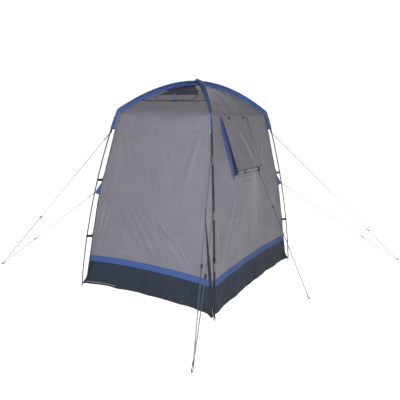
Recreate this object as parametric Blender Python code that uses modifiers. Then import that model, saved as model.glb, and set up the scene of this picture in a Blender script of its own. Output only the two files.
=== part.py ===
"""Privacy shower tent: a tapered cabin hung inside two crossed, jointed fibreglass poles.

Units are metres and +Z is up. The origin is the centre of the cabin on the ground.
The door wall faces -Y, the window wall faces +X, and the poles cross over the middle.
"""

import math

import bmesh
import bpy
from mathutils import Vector

# Pole frame
HALF_X = 0.825  # from the centre to a pole foot, along X
HALF_Y = 1.050  # and along Y
REACH = math.hypot(HALF_X, HALF_Y)  # from the centre to a pole foot, along the diagonal
LEG_LEAN = 0.0845  # how far a leg leans in per metre of height
LEG_BOW = 0.0715  # and how much more for each metre squared
ELBOW_REACH, ELBOW_Z = 0.907, 1.926
APEX_Z = 2.258
ARCH_POWER = 1.88
POLE_SPREAD = 0.0053  # how far each roof pole lies above or below APEX_Z where they cross
POLE_RADIUS = 0.00475
FERRULE_SWELL = 1.26  # ferrule radius over rod radius
FERRULE_LENGTH = 0.085
FERRULE_HEIGHTS = (0.51, 0.98, 1.48)
PIN_RADIUS, PIN_HEIGHT = 0.0045, 0.0305

# Cabin fabric
FABRIC = 0.002
FABRIC_REACH = ((0.0, 1.295), (0.95, 1.137), (1.885, 0.888))  # (height, reach) of a corner seam
SKIRT_BOTTOM, SKIRT_TOP = 0.045, 0.30  # the corners are held off the ground by their foot straps
WALL_TOP = 1.885
ROOF_DROP = 0.050  # roof fabric below the poles
SEAM_GAP = 0.004
SLEEVE_END_Z = 1.72
SLEEVE_OFFSET = 0.0068  # sleeve edge inside the pole's centre line
GAP = 0.0004

# Door, in the wall at -Y
DOOR_TOP = 1.80
DOOR_RIGHT, DOOR_LEFT = 0.790, -0.785  # edges at the ground
DOOR_TAPER = 0.18  # how far each edge leans in per metre of height
DOOR_SLIT = 0.002
DOOR_BOTTOM = 0.049
ZIP_START_Z = 0.10

# Window, in the wall at +X
WINDOW_Y = (-0.450, 0.135)
WINDOW_Z = (1.325, 1.845)
FLAP_Y = (-0.477, 0.163)
FLAP_TOP_Z, FLAP_HEM_Z = 1.872, 1.320
FLAP_OUT = 0.120  # how far the propped flap's hem stands off the flat wall
BULGE, BULGE_Y, BULGE_Z = 0.078, -0.25, 1.27  # the flap's guy pulls the wall out here
BULGE_BACK, BULGE_ON, BULGE_DOWN, BULGE_UP = 0.57, 0.70, 0.80, 0.61  # how far it reaches: -Y, +Y, -Z, +Z

# Roof vent, in the roof panel towards -Y, as shares of REACH from the apex
VENT_TOP, VENT_BOTTOM = 0.285, 0.385
VENT_HALF_TOP, VENT_HALF_BOTTOM = 0.19, 0.24
VENT_HINGE, VENT_FLAP_END = 0.392, 0.492
VENT_FLAP_HALF = (0.262, 0.205)
VENT_FLAP_LIFT = 0.005

# Guy lines, their runners and pegs
GUY_RADIUS = 0.0015
UPPER_GUY_Z, LOWER_GUY_Z = 1.67, 1.042
GUY_START = 0.0070  # start outside the pole's centre line
UPPER_GUY_END_Z, LOWER_GUY_END_Z = 0.014, 0.006
PEG_CLEARANCE = 0.0085
PEG_RADIUS, PEG_HEIGHT = 0.0025, 0.032
WINDOW_PEG = (1.43, -0.05)
WINDOW_GUY_Y = 0.02
RUNNER_INNER, RUNNER_OUTER, RUNNER_LENGTH = 0.0024, 0.0055, 0.036

# name: (sign of X, sign of Y, peg X, peg Y, upper runner's share of its guy, lower runner's)
CORNERS = {
    "front_right": (1, -1, 1.07, -1.89, 0.602, 0.464),
    "front_left": (-1, -1, -2.19, -1.01, 0.602, 0.602),
    "rear_right": (1, 1, 2.08, 1.87, 0.750, 0.686),
    "rear_left": (-1, 1, -1.07, 1.87, 0.602, 0.464),
}
WINDOW_RUNNER_SHARE = 0.292

RING_RADIUS, RING_WIRE = 0.018, 0.002


def cleared_collection():
    for old in list(bpy.data.objects):
        bpy.data.objects.remove(old)
    parts = bpy.data.collections.new("privacy_shower_tent")
    bpy.context.scene.collection.children.link(parts)
    return parts


PARTS = cleared_collection()
CUTTERS = bpy.data.collections.new("cutters")
bpy.context.scene.collection.children.link(CUTTERS)


def material(name, colour, roughness, metallic=0.0):
    made = bpy.data.materials.new(name)
    made.use_nodes = True
    shader = made.node_tree.nodes["Principled BSDF"]
    shader.inputs["Base Color"].default_value = (*colour, 1.0)
    shader.inputs["Roughness"].default_value = roughness
    shader.inputs["Metallic"].default_value = metallic
    return made


WALL_FABRIC = material("grey polyester", (0.26, 0.26, 0.28), 0.70)
ROOF_FABRIC = material("dark grey polyester", (0.16, 0.16, 0.175), 0.70)
NAVY_FABRIC = material("navy polyester", (0.035, 0.045, 0.070), 0.75)
BLUE_FABRIC = material("blue polyester", (0.035, 0.095, 0.32), 0.70)
MESH_FABRIC = material("black insect mesh", (0.02, 0.02, 0.022), 0.85)
FIBREGLASS = material("black fibreglass and steel ferrule", (0.03, 0.03, 0.035), 0.40)
STEEL = material("bright steel", (0.60, 0.61, 0.62), 0.30, 1.0)
CORD = material("pale grey cord", (0.55, 0.56, 0.58), 0.80)
PLASTIC = material("black plastic", (0.015, 0.015, 0.017), 0.45)


def add(name, data, finish, where=PARTS):
    made = bpy.data.objects.new(name, data)
    where.objects.link(made)
    if finish:
        data.materials.append(finish)
    return made


def at_corner(sign_x, sign_y, reach, height):
    """The point at this reach along a corner's diagonal."""
    return Vector((sign_x * HALF_X * reach / REACH, sign_y * HALF_Y * reach / REACH, height))


def leg_reach(height):
    return REACH - LEG_LEAN * height - LEG_BOW * height**2


def arch_height(reach, side=0):
    """A roof pole's height. side is 1 for the pole that passes over and -1 for the one under."""
    top = APEX_Z + side * POLE_SPREAD
    return top - (top - ELBOW_Z) * (abs(reach) / ELBOW_REACH) ** ARCH_POWER


def fabric_reach(height):
    for (low, low_reach), (high, high_reach) in zip(FABRIC_REACH, FABRIC_REACH[1:]):
        if height <= high:
            return low_reach + (high_reach - low_reach) * (height - low) / (high - low)
    return FABRIC_REACH[-1][1]


def roof_height(share):
    return arch_height(share * REACH) - ROOF_DROP


def wall_x(height):
    return HALF_X * fabric_reach(height) / REACH


def wall_y(height):
    return HALF_Y * fabric_reach(height) / REACH


def bump(distance, half_width):
    share = min(1.0, abs(distance) / half_width)
    return 0.5 + 0.5 * math.cos(math.pi * share)


def window_wall_point(y, height):
    """A point of the window wall, which its flap's guy pulls outwards."""
    across = BULGE_ON if y > BULGE_Y else BULGE_BACK
    upright = BULGE_UP if height > BULGE_Z else BULGE_DOWN
    out = BULGE * bump(y - BULGE_Y, across) * bump(height - BULGE_Z, upright)
    return Vector((wall_x(height) + out, y, height))


def grid_mesh(name, rows):
    """An open surface through rows of points, all of one length."""
    mesh = bpy.data.meshes.new(name)
    shape = bmesh.new()
    corners = [[shape.verts.new(point) for point in row] for row in rows]
    for low, high in zip(corners, corners[1:]):
        for i in range(len(low) - 1):
            shape.faces.new((low[i], low[i + 1], high[i + 1], high[i]))
    shape.to_mesh(mesh)
    shape.free()
    return mesh


def panel(name, rows, finish, thickness=FABRIC):
    """A fabric panel: its outer surface is the rows', and its thickness goes inwards."""
    made = add(name, grid_mesh(name, rows), finish)
    solid = made.modifiers.new("thickness", "SOLIDIFY")
    solid.thickness = thickness
    solid.offset = -1.0
    solid.use_even_offset = True
    return made


def spaced(start, end, count):
    return [start + (end - start) * i / (count - 1) for i in range(count)]


def prism_cutter(name, outline, direction, depth):
    """A cutter with this flat outline, extended both ways along direction."""
    mesh = bpy.data.meshes.new(name)
    shape = bmesh.new()
    face = shape.faces.new([shape.verts.new(Vector(p) - direction * depth) for p in outline])
    grown = bmesh.ops.extrude_face_region(shape, geom=[face])
    moved = [item for item in grown["geom"] if isinstance(item, bmesh.types.BMVert)]
    bmesh.ops.translate(shape, verts=moved, vec=direction * depth * 2)
    bmesh.ops.recalc_face_normals(shape, faces=shape.faces)
    shape.to_mesh(mesh)
    shape.free()
    made = add(name, mesh, None, CUTTERS)
    made.hide_render = True
    made.display_type = "WIRE"
    return made


def cut(target, cutter):
    boolean = target.modifiers.new(cutter.name, "BOOLEAN")
    boolean.operation = "DIFFERENCE"
    boolean.object = cutter


def rod(name, points, radius, finish, swells=None, bevel_resolution=2):
    """A round rod through points; swells gives each point's radius as a multiple of radius."""
    curve = bpy.data.curves.new(name, "CURVE")
    curve.dimensions = "3D"
    curve.bevel_depth = radius
    curve.bevel_resolution = bevel_resolution
    curve.use_fill_caps = True
    spline = curve.splines.new("POLY")
    spline.points.add(len(points) - 1)
    for i, point in enumerate(points):
        spline.points[i].co = (*point, 1.0)
        spline.points[i].radius = swells[i] if swells else 1.0
    return add(name, curve, finish)


# Poles -------------------------------------------------------------------------------------


def leg_points(corner, heights):
    sign_x, sign_y = CORNERS[corner][:2]
    return [at_corner(sign_x, sign_y, leg_reach(z), z) for z in heights]


def leg_sections(corner):
    """Three rods, each with the steel ferrule that takes the next one on its upper end."""
    step = 0.001
    bottom = PIN_HEIGHT + GAP
    for number, height in enumerate(FERRULE_HEIGHTS, 1):
        low, high = height - FERRULE_LENGTH / 2, height + FERRULE_LENGTH / 2
        heights = spaced(bottom, low, 4) + [low + step, high]
        swells = [1.0] * 4 + [FERRULE_SWELL] * 2
        points = leg_points(corner, heights)
        rod(f"{corner}_leg_section_{number}", points, POLE_RADIUS, FIBREGLASS, swells)
        bottom = high + GAP


def elbow(corner):
    """The top rod of a leg with the bent steel tube that joins it to the roof pole."""
    sign_x, sign_y = CORNERS[corner][:2]
    side = 1 if sign_x != sign_y else -1
    top_ferrule = FERRULE_HEIGHTS[-1] + FERRULE_LENGTH / 2 + GAP
    points = leg_points(corner, [top_ferrule, 1.62, 1.74, 1.855, 1.856, 1.905])
    reaches = (0.903, 0.885, 0.840)
    points += [at_corner(sign_x, sign_y, r, arch_height(r, side) - 0.002 * (r > 0.9)) for r in reaches]
    swells = [1.0] * 4 + [FERRULE_SWELL] * 5
    rod(f"{corner}_elbow", points, POLE_RADIUS, FIBREGLASS, swells)


def roof_pole(name, sign_y, side):
    """A roof pole along one diagonal, in two rods with a ferrule a third of the way."""
    end = 0.840 - GAP
    reaches = spaced(-end, end, 27)
    points = [at_corner(1, sign_y, r, arch_height(r, side)) for r in reaches]
    swells = [FERRULE_SWELL if 0.33 < abs(r) < 0.42 else 1.0 for r in reaches]
    rod(name, points, POLE_RADIUS, FIBREGLASS, swells)


def foot_pin(corner):
    sign_x, sign_y = CORNERS[corner][:2]
    bpy.ops.mesh.primitive_cylinder_add(vertices=12, radius=PIN_RADIUS, depth=PIN_HEIGHT)
    pin = bpy.context.object
    pin.location = at_corner(sign_x, sign_y, REACH, PIN_HEIGHT / 2)
    pin.name = f"{corner}_foot_pin"
    pin.data.materials.append(STEEL)
    for holder in list(pin.users_collection):
        holder.objects.unlink(pin)
    PARTS.objects.link(pin)


for corner_name in CORNERS:
    leg_sections(corner_name)
    elbow(corner_name)
    foot_pin(corner_name)
roof_pole("roof_pole_over", -1, 1)
roof_pole("roof_pole_under", 1, -1)


# Sleeves -----------------------------------------------------------------------------------


def sleeve(name, sign_y, side):
    """A fin of fabric in a diagonal plane, from the poles in to the cabin's seam."""
    outer, inner = [], []
    for z in (SLEEVE_END_Z, 1.77, 1.82, 1.865):
        outer.append((leg_reach(z) - SLEEVE_OFFSET, z - 0.002))
        inner.append((fabric_reach(z) + 0.0015, z))
    outer.append((ELBOW_REACH - 0.007, ELBOW_Z - 0.0095))
    inner.append((FABRIC_REACH[-1][1] + 0.0020, WALL_TOP + 0.010))
    for reach in spaced(0.86, 0.0, 12):
        outer.append((reach, arch_height(reach, side) - SLEEVE_OFFSET - 0.0006))
        inner.append((reach, roof_height(reach / REACH) + 0.0020))
    rows = []
    for edge in (inner, outer):
        mirrored = [(-reach, z) for reach, z in reversed(edge[:-1])]
        rows.append([at_corner(1, sign_y, reach, z) for reach, z in edge + mirrored])
    made = panel(name, rows, BLUE_FABRIC)
    made.modifiers["thickness"].offset = 0.0
    return made


def block(name, half_width, low, high):
    """A square cutter on the centre line, between two heights."""
    h = half_width
    outline = [(-h, -h, 0), (h, -h, 0), (h, h, 0), (-h, h, 0)]
    made = prism_cutter(name, outline, Vector((0, 0, 1)), (high - low) / 2)
    made.location.z = (low + high) / 2
    return made


LAP_Z = 2.227
cut(sleeve("sleeve_over", -1, 1), block("lap_from_above", 0.009, LAP_Z - GAP, APEX_Z + 0.05))
cut(sleeve("sleeve_under", 1, -1), block("lap_from_below", 0.004, APEX_Z - 0.08, LAP_Z + GAP))


# Cabin -------------------------------------------------------------------------------------


def side_walls():
    """The three walls without a door, above the skirt."""
    heights = spaced(SKIRT_TOP + 0.0015, WALL_TOP, 10)
    window_rows = []
    for z in heights:
        half = wall_y(z) - SEAM_GAP
        window_rows.append([window_wall_point(y, z) for y in spaced(-half, half, 13)])
    window_wall = panel("window_wall", window_rows, WALL_FABRIC)
    (y0, y1), (z0, z1) = WINDOW_Y, WINDOW_Z
    outline = [(0, y0, z0), (0, y1, z0), (0, y1, z1), (0, y0, z1)]
    cut(window_wall, prism_cutter("window_hole", outline, Vector((1, 0, 0)), 1.0))

    low_to_high = (SKIRT_TOP + 0.0015, FABRIC_REACH[1][0], WALL_TOP)
    plain, rear = [], []
    for z in low_to_high:
        x, y = wall_x(z), wall_y(z)
        plain.append([(-x, y - SEAM_GAP, z), (-x, SEAM_GAP - y, z)])
        rear.append([(x - SEAM_GAP, y, z), (SEAM_GAP - x, y, z)])
    panel("plain_wall", plain, WALL_FABRIC)
    panel("rear_wall", rear, WALL_FABRIC)


def skirt():
    """The mud skirt round the three walls without a door."""
    rows = []
    for z in (SKIRT_BOTTOM, SKIRT_TOP):
        x, y = wall_x(z), wall_y(z)
        rows.append([(x, -y, z), (x, y, z), (-x, y, z), (-x, -y, z)])
    panel("skirt", rows, NAVY_FABRIC)


def door_wall():
    """The wall at -Y: a surround that is fixed, and the door panel zipped into it."""
    rows = []
    for z in (SKIRT_BOTTOM, FABRIC_REACH[1][0], WALL_TOP):
        x, y = wall_x(z) - SEAM_GAP, wall_y(z)
        rows.append([(-x, -y, z), (x, -y, z)])
    surround = panel("front_surround", rows, WALL_FABRIC)
    below = -0.1  # the opening runs on past the surround's lower edge
    outline = [
        (DOOR_LEFT + DOOR_TAPER * below - DOOR_SLIT, 0, below),
        (DOOR_RIGHT - DOOR_TAPER * below + DOOR_SLIT, 0, below),
        (DOOR_RIGHT - DOOR_TAPER * DOOR_TOP + DOOR_SLIT, 0, DOOR_TOP + DOOR_SLIT),
        (DOOR_LEFT + DOOR_TAPER * DOOR_TOP - DOOR_SLIT, 0, DOOR_TOP + DOOR_SLIT),
    ]
    cut(surround, prism_cutter("door_hole", outline, Vector((0, 1, 0)), 1.5))
    rows = []
    for z in (DOOR_BOTTOM, FABRIC_REACH[1][0], DOOR_TOP):
        left, right = DOOR_LEFT + DOOR_TAPER * z, DOOR_RIGHT - DOOR_TAPER * z
        rows.append([(left, -wall_y(z), z), (right, -wall_y(z), z)])
    panel("door_panel", rows, WALL_FABRIC)


def door_zip_slider():
    """The slider on the door's zipped edge, at the foot of the zip."""
    z = ZIP_START_Z
    start = Vector((DOOR_RIGHT - DOOR_TAPER * z - 0.007, -wall_y(z) - 0.0055, z))
    shape = bmesh.new()
    bmesh.ops.create_cube(shape, size=1.0)
    bmesh.ops.scale(shape, vec=(0.009, 0.006, 0.020), verts=shape.verts)
    mesh = bpy.data.meshes.new("door_zip_slider")
    shape.to_mesh(mesh)
    shape.free()
    slider = add("door_zip_slider", mesh, PLASTIC)
    slider.location = start
    slider.rotation_euler.x = -math.atan((wall_y(0) - wall_y(0.5)) / 0.5)
    edges = slider.modifiers.new("edges", "BEVEL")
    edges.width = 0.0015
    edges.segments = 2


def roof_canopy():
    """The roof fabric: a low pyramid whose edges follow the poles, in rings from the apex."""
    eave = FABRIC_REACH[-1][1] / REACH
    shares = spaced(0.0, eave, 11)[1:]
    mesh = bpy.data.meshes.new("roof_canopy")
    shape = bmesh.new()
    apex = shape.verts.new((0, 0, roof_height(0)))
    rings = []
    for share in shares:
        x, y, z = HALF_X * share, HALF_Y * share, roof_height(share)
        ring = [(x, -y, z), (x, y, z), (-x, y, z), (-x, -y, z)]
        rings.append([shape.verts.new(point) for point in ring])
    for i in range(4):
        j = (i + 1) % 4
        shape.faces.new((apex, rings[0][i], rings[0][j]))
        for inner, outer in zip(rings, rings[1:]):
            shape.faces.new((inner[i], outer[i], outer[j], inner[j]))
    bmesh.ops.recalc_face_normals(shape, faces=shape.faces)
    shape.to_mesh(mesh)
    shape.free()
    canopy = add("roof_canopy", mesh, ROOF_FABRIC)
    solid = canopy.modifiers.new("thickness", "SOLIDIFY")
    solid.thickness = FABRIC
    solid.offset = -1.0
    solid.use_even_offset = True
    return canopy


def vent():
    """The vent in the front roof panel: a hole, the mesh sewn into it and the flap that shuts it."""
    top, bottom = -HALF_Y * VENT_TOP, -HALF_Y * VENT_BOTTOM
    outline = [
        (-VENT_HALF_BOTTOM, bottom, 0),
        (VENT_HALF_BOTTOM, bottom, 0),
        (VENT_HALF_TOP, top, 0),
        (-VENT_HALF_TOP, top, 0),
    ]
    cut(roof_canopy(), prism_cutter("vent_hole", outline, Vector((0, 0, 1)), 3.0))
    rows = []
    for share in spaced(VENT_BOTTOM - GAP, VENT_TOP + GAP, 3):
        along = (VENT_BOTTOM - share) / (VENT_BOTTOM - VENT_TOP)
        half = VENT_HALF_BOTTOM + (VENT_HALF_TOP - VENT_HALF_BOTTOM) * along - 2 * GAP
        y, z = -HALF_Y * share, roof_height(share)
        rows.append([(-half, y, z), (half, y, z)])
    panel("vent_mesh", rows, MESH_FABRIC, 0.001)
    rows = []
    for share, half in zip((VENT_HINGE, VENT_FLAP_END), VENT_FLAP_HALF):
        y, z = -HALF_Y * share, roof_height(share) + VENT_FLAP_LIFT
        rows.append([(half, y, z), (-half, y, z)])
    panel("vent_flap", rows, ROOF_FABRIC, 0.0015)


def window():
    """The insect mesh in the window's hole, and the flap over it, propped open by its guy."""
    (y0, y1), (z0, z1) = WINDOW_Y, WINDOW_Z
    rows = []
    for z in spaced(z0 + GAP, z1 - GAP, 5):
        rows.append([window_wall_point(y, z) for y in spaced(y0 + GAP, y1 - GAP, 6)])
    panel("window_mesh", rows, MESH_FABRIC, 0.001)
    top = (wall_x(FLAP_TOP_Z) + 0.004, FLAP_TOP_Z)
    hem = (wall_x(FLAP_HEM_Z) + FLAP_OUT, FLAP_HEM_Z)
    rows = [[(x, y, z) for y in FLAP_Y] for x, z in (hem, top)]
    panel("window_flap", rows, WALL_FABRIC)


def lamp_ring():
    """The ring under the apex that a lamp or a shower bag hangs on."""
    top = roof_height(0) - FABRIC - 0.004
    bpy.ops.mesh.primitive_torus_add(
        major_segments=16, minor_segments=6, major_radius=RING_RADIUS, minor_radius=RING_WIRE
    )
    ring = bpy.context.object
    ring.name = "lamp_ring"
    ring.rotation_euler.x = math.pi / 2
    ring.location.z = top - RING_RADIUS - RING_WIRE
    ring.data.materials.append(STEEL)
    for holder in list(ring.users_collection):
        holder.objects.unlink(ring)
    PARTS.objects.link(ring)


side_walls()
skirt()
door_wall()
door_zip_slider()
vent()
window()
lamp_ring()


# Guy lines ---------------------------------------------------------------------------------


def runner(name, start, end, share):
    """A plastic runner threaded on a guy: a short thick ring round it."""
    low, high = -RUNNER_LENGTH / 2, RUNNER_LENGTH / 2
    profile = [
        (RUNNER_OUTER, 0, high),
        (RUNNER_OUTER, 0, low),
        (RUNNER_INNER, 0, low),
        (RUNNER_INNER, 0, high),
    ]
    mesh = bpy.data.meshes.new(name)
    mesh.from_pydata(profile, [(0, 1), (1, 2), (2, 3), (3, 0)], [])
    made = add(name, mesh, PLASTIC)
    made.location = start.lerp(end, share)
    made.rotation_mode = "QUATERNION"
    made.rotation_quaternion = (end - start).to_track_quat("Z", "X")
    turned = made.modifiers.new("turned", "SCREW")
    turned.steps = turned.render_steps = 10
    turned.use_merge_vertices = True
    turned.merge_threshold = 1e-5


def guy(name, start, end, share):
    points = [start.lerp(end, t) for t in spaced(0.0, 1.0, 8)]
    rod(name, points, GUY_RADIUS, CORD)
    runner(f"{name}_runner", start, end, share)


def peg(name, foot, outward):
    """The part of a steel peg above the ground: its shank and the hook that holds the guys."""
    profile = [(0.0, 0.0), (0.0, 0.020), (0.003, 0.028), (0.010, PEG_HEIGHT), (0.017, 0.028), (0.020, 0.020)]
    points = [foot + outward * along + Vector((0, 0, z)) for along, z in profile]
    rod(name, points, PEG_RADIUS, STEEL)


def short_of(foot, start, height):
    """Where a guy from start ends: just short of the peg's shank, at this height."""
    back = Vector((start.x - foot.x, start.y - foot.y, 0)).normalized()
    return foot + back * PEG_CLEARANCE + Vector((0, 0, height))


def corner_guys(corner):
    sign_x, sign_y, peg_x, peg_y, upper_share, lower_share = CORNERS[corner]
    foot = Vector((peg_x, peg_y, 0))
    for level, z, end_z, share in (
        ("upper", UPPER_GUY_Z, UPPER_GUY_END_Z, upper_share),
        ("lower", LOWER_GUY_Z, LOWER_GUY_END_Z, lower_share),
    ):
        start = at_corner(sign_x, sign_y, leg_reach(z) + GUY_START, z)
        guy(f"{corner}_{level}_guy", start, short_of(foot, start, end_z), share)
    peg(f"{corner}_peg", foot, Vector((peg_x, peg_y, 0)).normalized())


def window_guy():
    foot = Vector((*WINDOW_PEG, 0))
    start = Vector((wall_x(FLAP_HEM_Z) + FLAP_OUT + 0.004, WINDOW_GUY_Y, FLAP_HEM_Z - 0.006))
    guy("window_guy", start, short_of(foot, start, LOWER_GUY_END_Z), WINDOW_RUNNER_SHARE)
    peg("window_peg", foot, Vector((1, 0, 0)))


for corner_name in CORNERS:
    corner_guys(corner_name)
window_guy()
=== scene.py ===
"""Looks for the privacy shower tent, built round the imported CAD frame. Metres, +Z up."""

import math
import random

import bmesh
import bpy
import numpy as np
from mathutils import Matrix, Vector

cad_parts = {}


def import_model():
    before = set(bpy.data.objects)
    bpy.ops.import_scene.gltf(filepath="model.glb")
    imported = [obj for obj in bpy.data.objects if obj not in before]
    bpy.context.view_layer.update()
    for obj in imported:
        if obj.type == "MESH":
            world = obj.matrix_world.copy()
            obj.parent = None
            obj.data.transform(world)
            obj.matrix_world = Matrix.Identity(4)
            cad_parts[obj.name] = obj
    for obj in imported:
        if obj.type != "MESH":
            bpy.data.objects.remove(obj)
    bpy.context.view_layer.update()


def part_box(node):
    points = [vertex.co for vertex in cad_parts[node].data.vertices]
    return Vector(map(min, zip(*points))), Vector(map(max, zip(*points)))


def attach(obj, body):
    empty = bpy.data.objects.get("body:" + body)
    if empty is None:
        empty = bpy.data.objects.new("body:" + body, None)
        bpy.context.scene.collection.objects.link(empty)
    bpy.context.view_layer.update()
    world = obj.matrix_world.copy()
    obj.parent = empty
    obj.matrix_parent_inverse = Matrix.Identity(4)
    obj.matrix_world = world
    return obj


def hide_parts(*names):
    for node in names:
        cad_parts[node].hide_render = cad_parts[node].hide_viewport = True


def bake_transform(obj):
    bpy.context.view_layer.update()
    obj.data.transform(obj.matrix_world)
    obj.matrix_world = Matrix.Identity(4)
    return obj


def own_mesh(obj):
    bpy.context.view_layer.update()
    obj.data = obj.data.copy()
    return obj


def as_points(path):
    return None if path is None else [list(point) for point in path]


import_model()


def centre_of(node):
    """The middle of a CAD node's box."""
    low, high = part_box(node)
    return (low + high) / 2


# Measures ------------------------------------------------------------------------------------
# The pole frame and the cabin have the CAD's own proportions.

HALF_X = centre_of("front_right_foot_pin").x
HALF_Y = -centre_of("front_right_foot_pin").y
REACH = math.hypot(HALF_X, HALF_Y)  # from the centre to a pole foot, along a diagonal
LEG_LEAN, LEG_BOW = 0.0845, 0.0715
ELBOW_REACH, ELBOW_Z = 0.907, 1.926
APEX_Z, ARCH_POWER, POLE_SPREAD = 2.258, 1.88, 0.0053
POLE_RADIUS, FERRULE_RADIUS, FERRULE_LENGTH = 0.0062, 0.0070, 0.085
FERRULE_HEIGHTS = (0.51, 0.98, 1.48)
ARCH_FERRULE = (0.33, 0.42)  # where a roof pole's ferrules lie, as reaches
PIN_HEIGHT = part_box("front_right_foot_pin")[1].z
SECTION_GAP = 0.0004  # between a rod and the ferrule below it

FABRIC_REACH = ((0.0, 1.295), (0.95, 1.137), (1.885, 0.888))  # (height, reach) of a corner seam
SKIRT_BOTTOM, SKIRT_TOP, BAND_TOP, WALL_TOP = 0.045, 0.30, 0.365, 1.885
ROOF_DROP = 0.050  # of the roof cloth below the poles' arch
SLEEVE_END_Z = 1.72
CLOTH = 0.0009  # its thickness

DOOR_TOP, DOOR_RIGHT, DOOR_LEFT, DOOR_TAPER, DOOR_SLIT = 1.80, 0.790, -0.785, 0.18, 0.002
WINDOW_Y, WINDOW_Z = (-0.450, 0.135), (1.325, 1.845)
FLAP_Y, FLAP_TOP_Z, FLAP_HEM_Z, FLAP_OUT = (-0.477, 0.163), 1.872, 1.320, 0.120
BULGE, BULGE_Y, BULGE_Z = 0.078, -0.25, 1.27
BULGE_BACK, BULGE_ON, BULGE_DOWN, BULGE_UP = 0.57, 0.70, 0.80, 0.61
VENT_TOP, VENT_BOTTOM, VENT_HALF_TOP, VENT_HALF_BOTTOM = 0.285, 0.385, 0.19, 0.24
VENT_HINGE, VENT_FLAP_END, VENT_FLAP_HALF, VENT_FLAP_LIFT = 0.392, 0.478, (0.262, 0.205), 0.005

GUY_DIAMETER, GUY_START, PEG_CLEARANCE = 0.005, 0.0070, 0.0085
UPPER_GUY_Z, LOWER_GUY_Z, UPPER_GUY_END_Z, LOWER_GUY_END_Z = 1.67, 1.042, 0.014, 0.006
WINDOW_PEG, WINDOW_GUY_Y, WINDOW_RUNNER_SHARE = (1.43, -0.05), 0.02, 0.292
RUNNER_LENGTH, RUNNER_END, RUNNER_FLAT, RUNNER_DEPTH = 0.036, 0.0072, 0.0046, 0.0062
PEG_PROFILE = ((0.0, 0.0), (0.0, 0.020), (0.003, 0.028), (0.010, 0.032), (0.017, 0.028), (0.020, 0.020))

# name: (sign of X, sign of Y, peg X, peg Y, upper runner's share of its guy, lower runner's)
CORNERS = {
    "front_right": (1, -1, 1.07, -1.89, 0.602, 0.464),
    "front_left": (-1, -1, -2.19, -1.01, 0.602, 0.602),
    "rear_right": (1, 1, 2.08, 1.87, 0.750, 0.686),
    "rear_left": (-1, 1, -1.07, 1.87, 0.602, 0.464),
}


def at_corner(corner, reach, height):
    """A point in a corner's upright plane, this far out from the tent's middle."""
    sign_x, sign_y = CORNERS[corner][:2]
    return Vector((sign_x * HALF_X * reach / REACH, sign_y * HALF_Y * reach / REACH, height))


def leg_reach(height):
    """How far out a leg stands: it leans in and bows."""
    return REACH - LEG_LEAN * height - LEG_BOW * height**2


def arch_height(reach, side=0):
    """A roof pole's height. side is 1 for the pole on top at the crossing and -1 for the other."""
    top = APEX_Z + side * POLE_SPREAD
    return top - (top - ELBOW_Z) * (abs(reach) / ELBOW_REACH) ** ARCH_POWER


def fabric_reach(height):
    """How far out the cabin's corner seam lies."""
    heights, reaches = zip(*FABRIC_REACH)
    return np.interp(height, heights, reaches)


def pole_at(corner, height, out=0.0):
    """A point on a leg, or this far outside it."""
    return at_corner(corner, leg_reach(height) + out, height)


def seam_at(corner, height, out):
    """A point this far outside the cabin's corner seam."""
    return at_corner(corner, float(fabric_reach(height)) + out, height)


def roof_height(share):
    """The roof cloth's height, below the poles' arch."""
    return arch_height(share * REACH) - ROOF_DROP


def smooth(value):
    """0 to 1 with a soft start and end."""
    value = np.clip(value, 0.0, 1.0)
    return value * value * (3 - 2 * value)


def bump(distance, half_width):
    """1 at no distance, falling to 0 at half_width."""
    return 0.5 + 0.5 * np.cos(math.pi * np.minimum(1.0, np.abs(distance) / half_width))


def added(name, data):
    """A new object in the scene."""
    made = bpy.data.objects.new(name, data)
    bpy.context.scene.collection.objects.link(made)
    return made


# Camera, light and floor -----------------------------------------------------------------------

CAMERA_PLACE = Vector((2.641, -4.634, 1.939))
CAMERA_HEADING, CAMERA_PITCH, CAMERA_ROLL = (math.radians(a) for a in (119.11, -11.02, 1.0))
CAMERA_LENS = 41.65


def camera():
    """The photograph's camera, fitted to the tent's edges."""
    level_share = math.cos(CAMERA_PITCH)
    ahead = Vector((
        level_share * math.cos(CAMERA_HEADING),
        level_share * math.sin(CAMERA_HEADING),
        math.sin(CAMERA_PITCH),
    ))
    level = ahead.cross(Vector((0, 0, 1))).normalized()
    upright = level.cross(ahead)
    right = math.cos(CAMERA_ROLL) * level + math.sin(CAMERA_ROLL) * upright
    up = math.cos(CAMERA_ROLL) * upright - math.sin(CAMERA_ROLL) * level
    data = bpy.data.cameras.new("camera")
    data.lens = CAMERA_LENS
    data.clip_end = 60
    made = added("camera", data)
    axes = Matrix((right, up, -ahead)).transposed()
    made.matrix_world = Matrix.Translation(CAMERA_PLACE) @ axes.to_4x4()
    bpy.context.scene.camera = made


def softbox(name, place, aim, size, power):
    """A rectangular lamp that faces its aim."""
    data = bpy.data.lights.new(name, "AREA")
    data.shape = "RECTANGLE"
    data.size, data.size_y = size
    data.energy = power
    made = added(name, data)
    made.location = place
    made.rotation_mode = "QUATERNION"
    made.rotation_quaternion = (Vector(aim) - Vector(place)).to_track_quat("-Z", "Y")


WALL_GLOW, CEILING_GLOW = 1.05, 0.20  # strength of the white surroundings, all round and overhead
SOFTBOXES = {  # name: (place, aim, size, power in watts)
    "key": ((3.7, -5.8, 2.2), (0, 0, 0.9), (1.2, 1.2), 720),
    "fill": ((-4.8, -4.6, 2.6), (0, 0, 1.0), (3.0, 3.0), 40),
    "back": ((-2.0, 5.5, 4.0), (0, 0, 1.2), (3.0, 3.0), 60),
}
FLOOR_HALF, FLOOR_DROP = 30.0, 0.002


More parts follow.
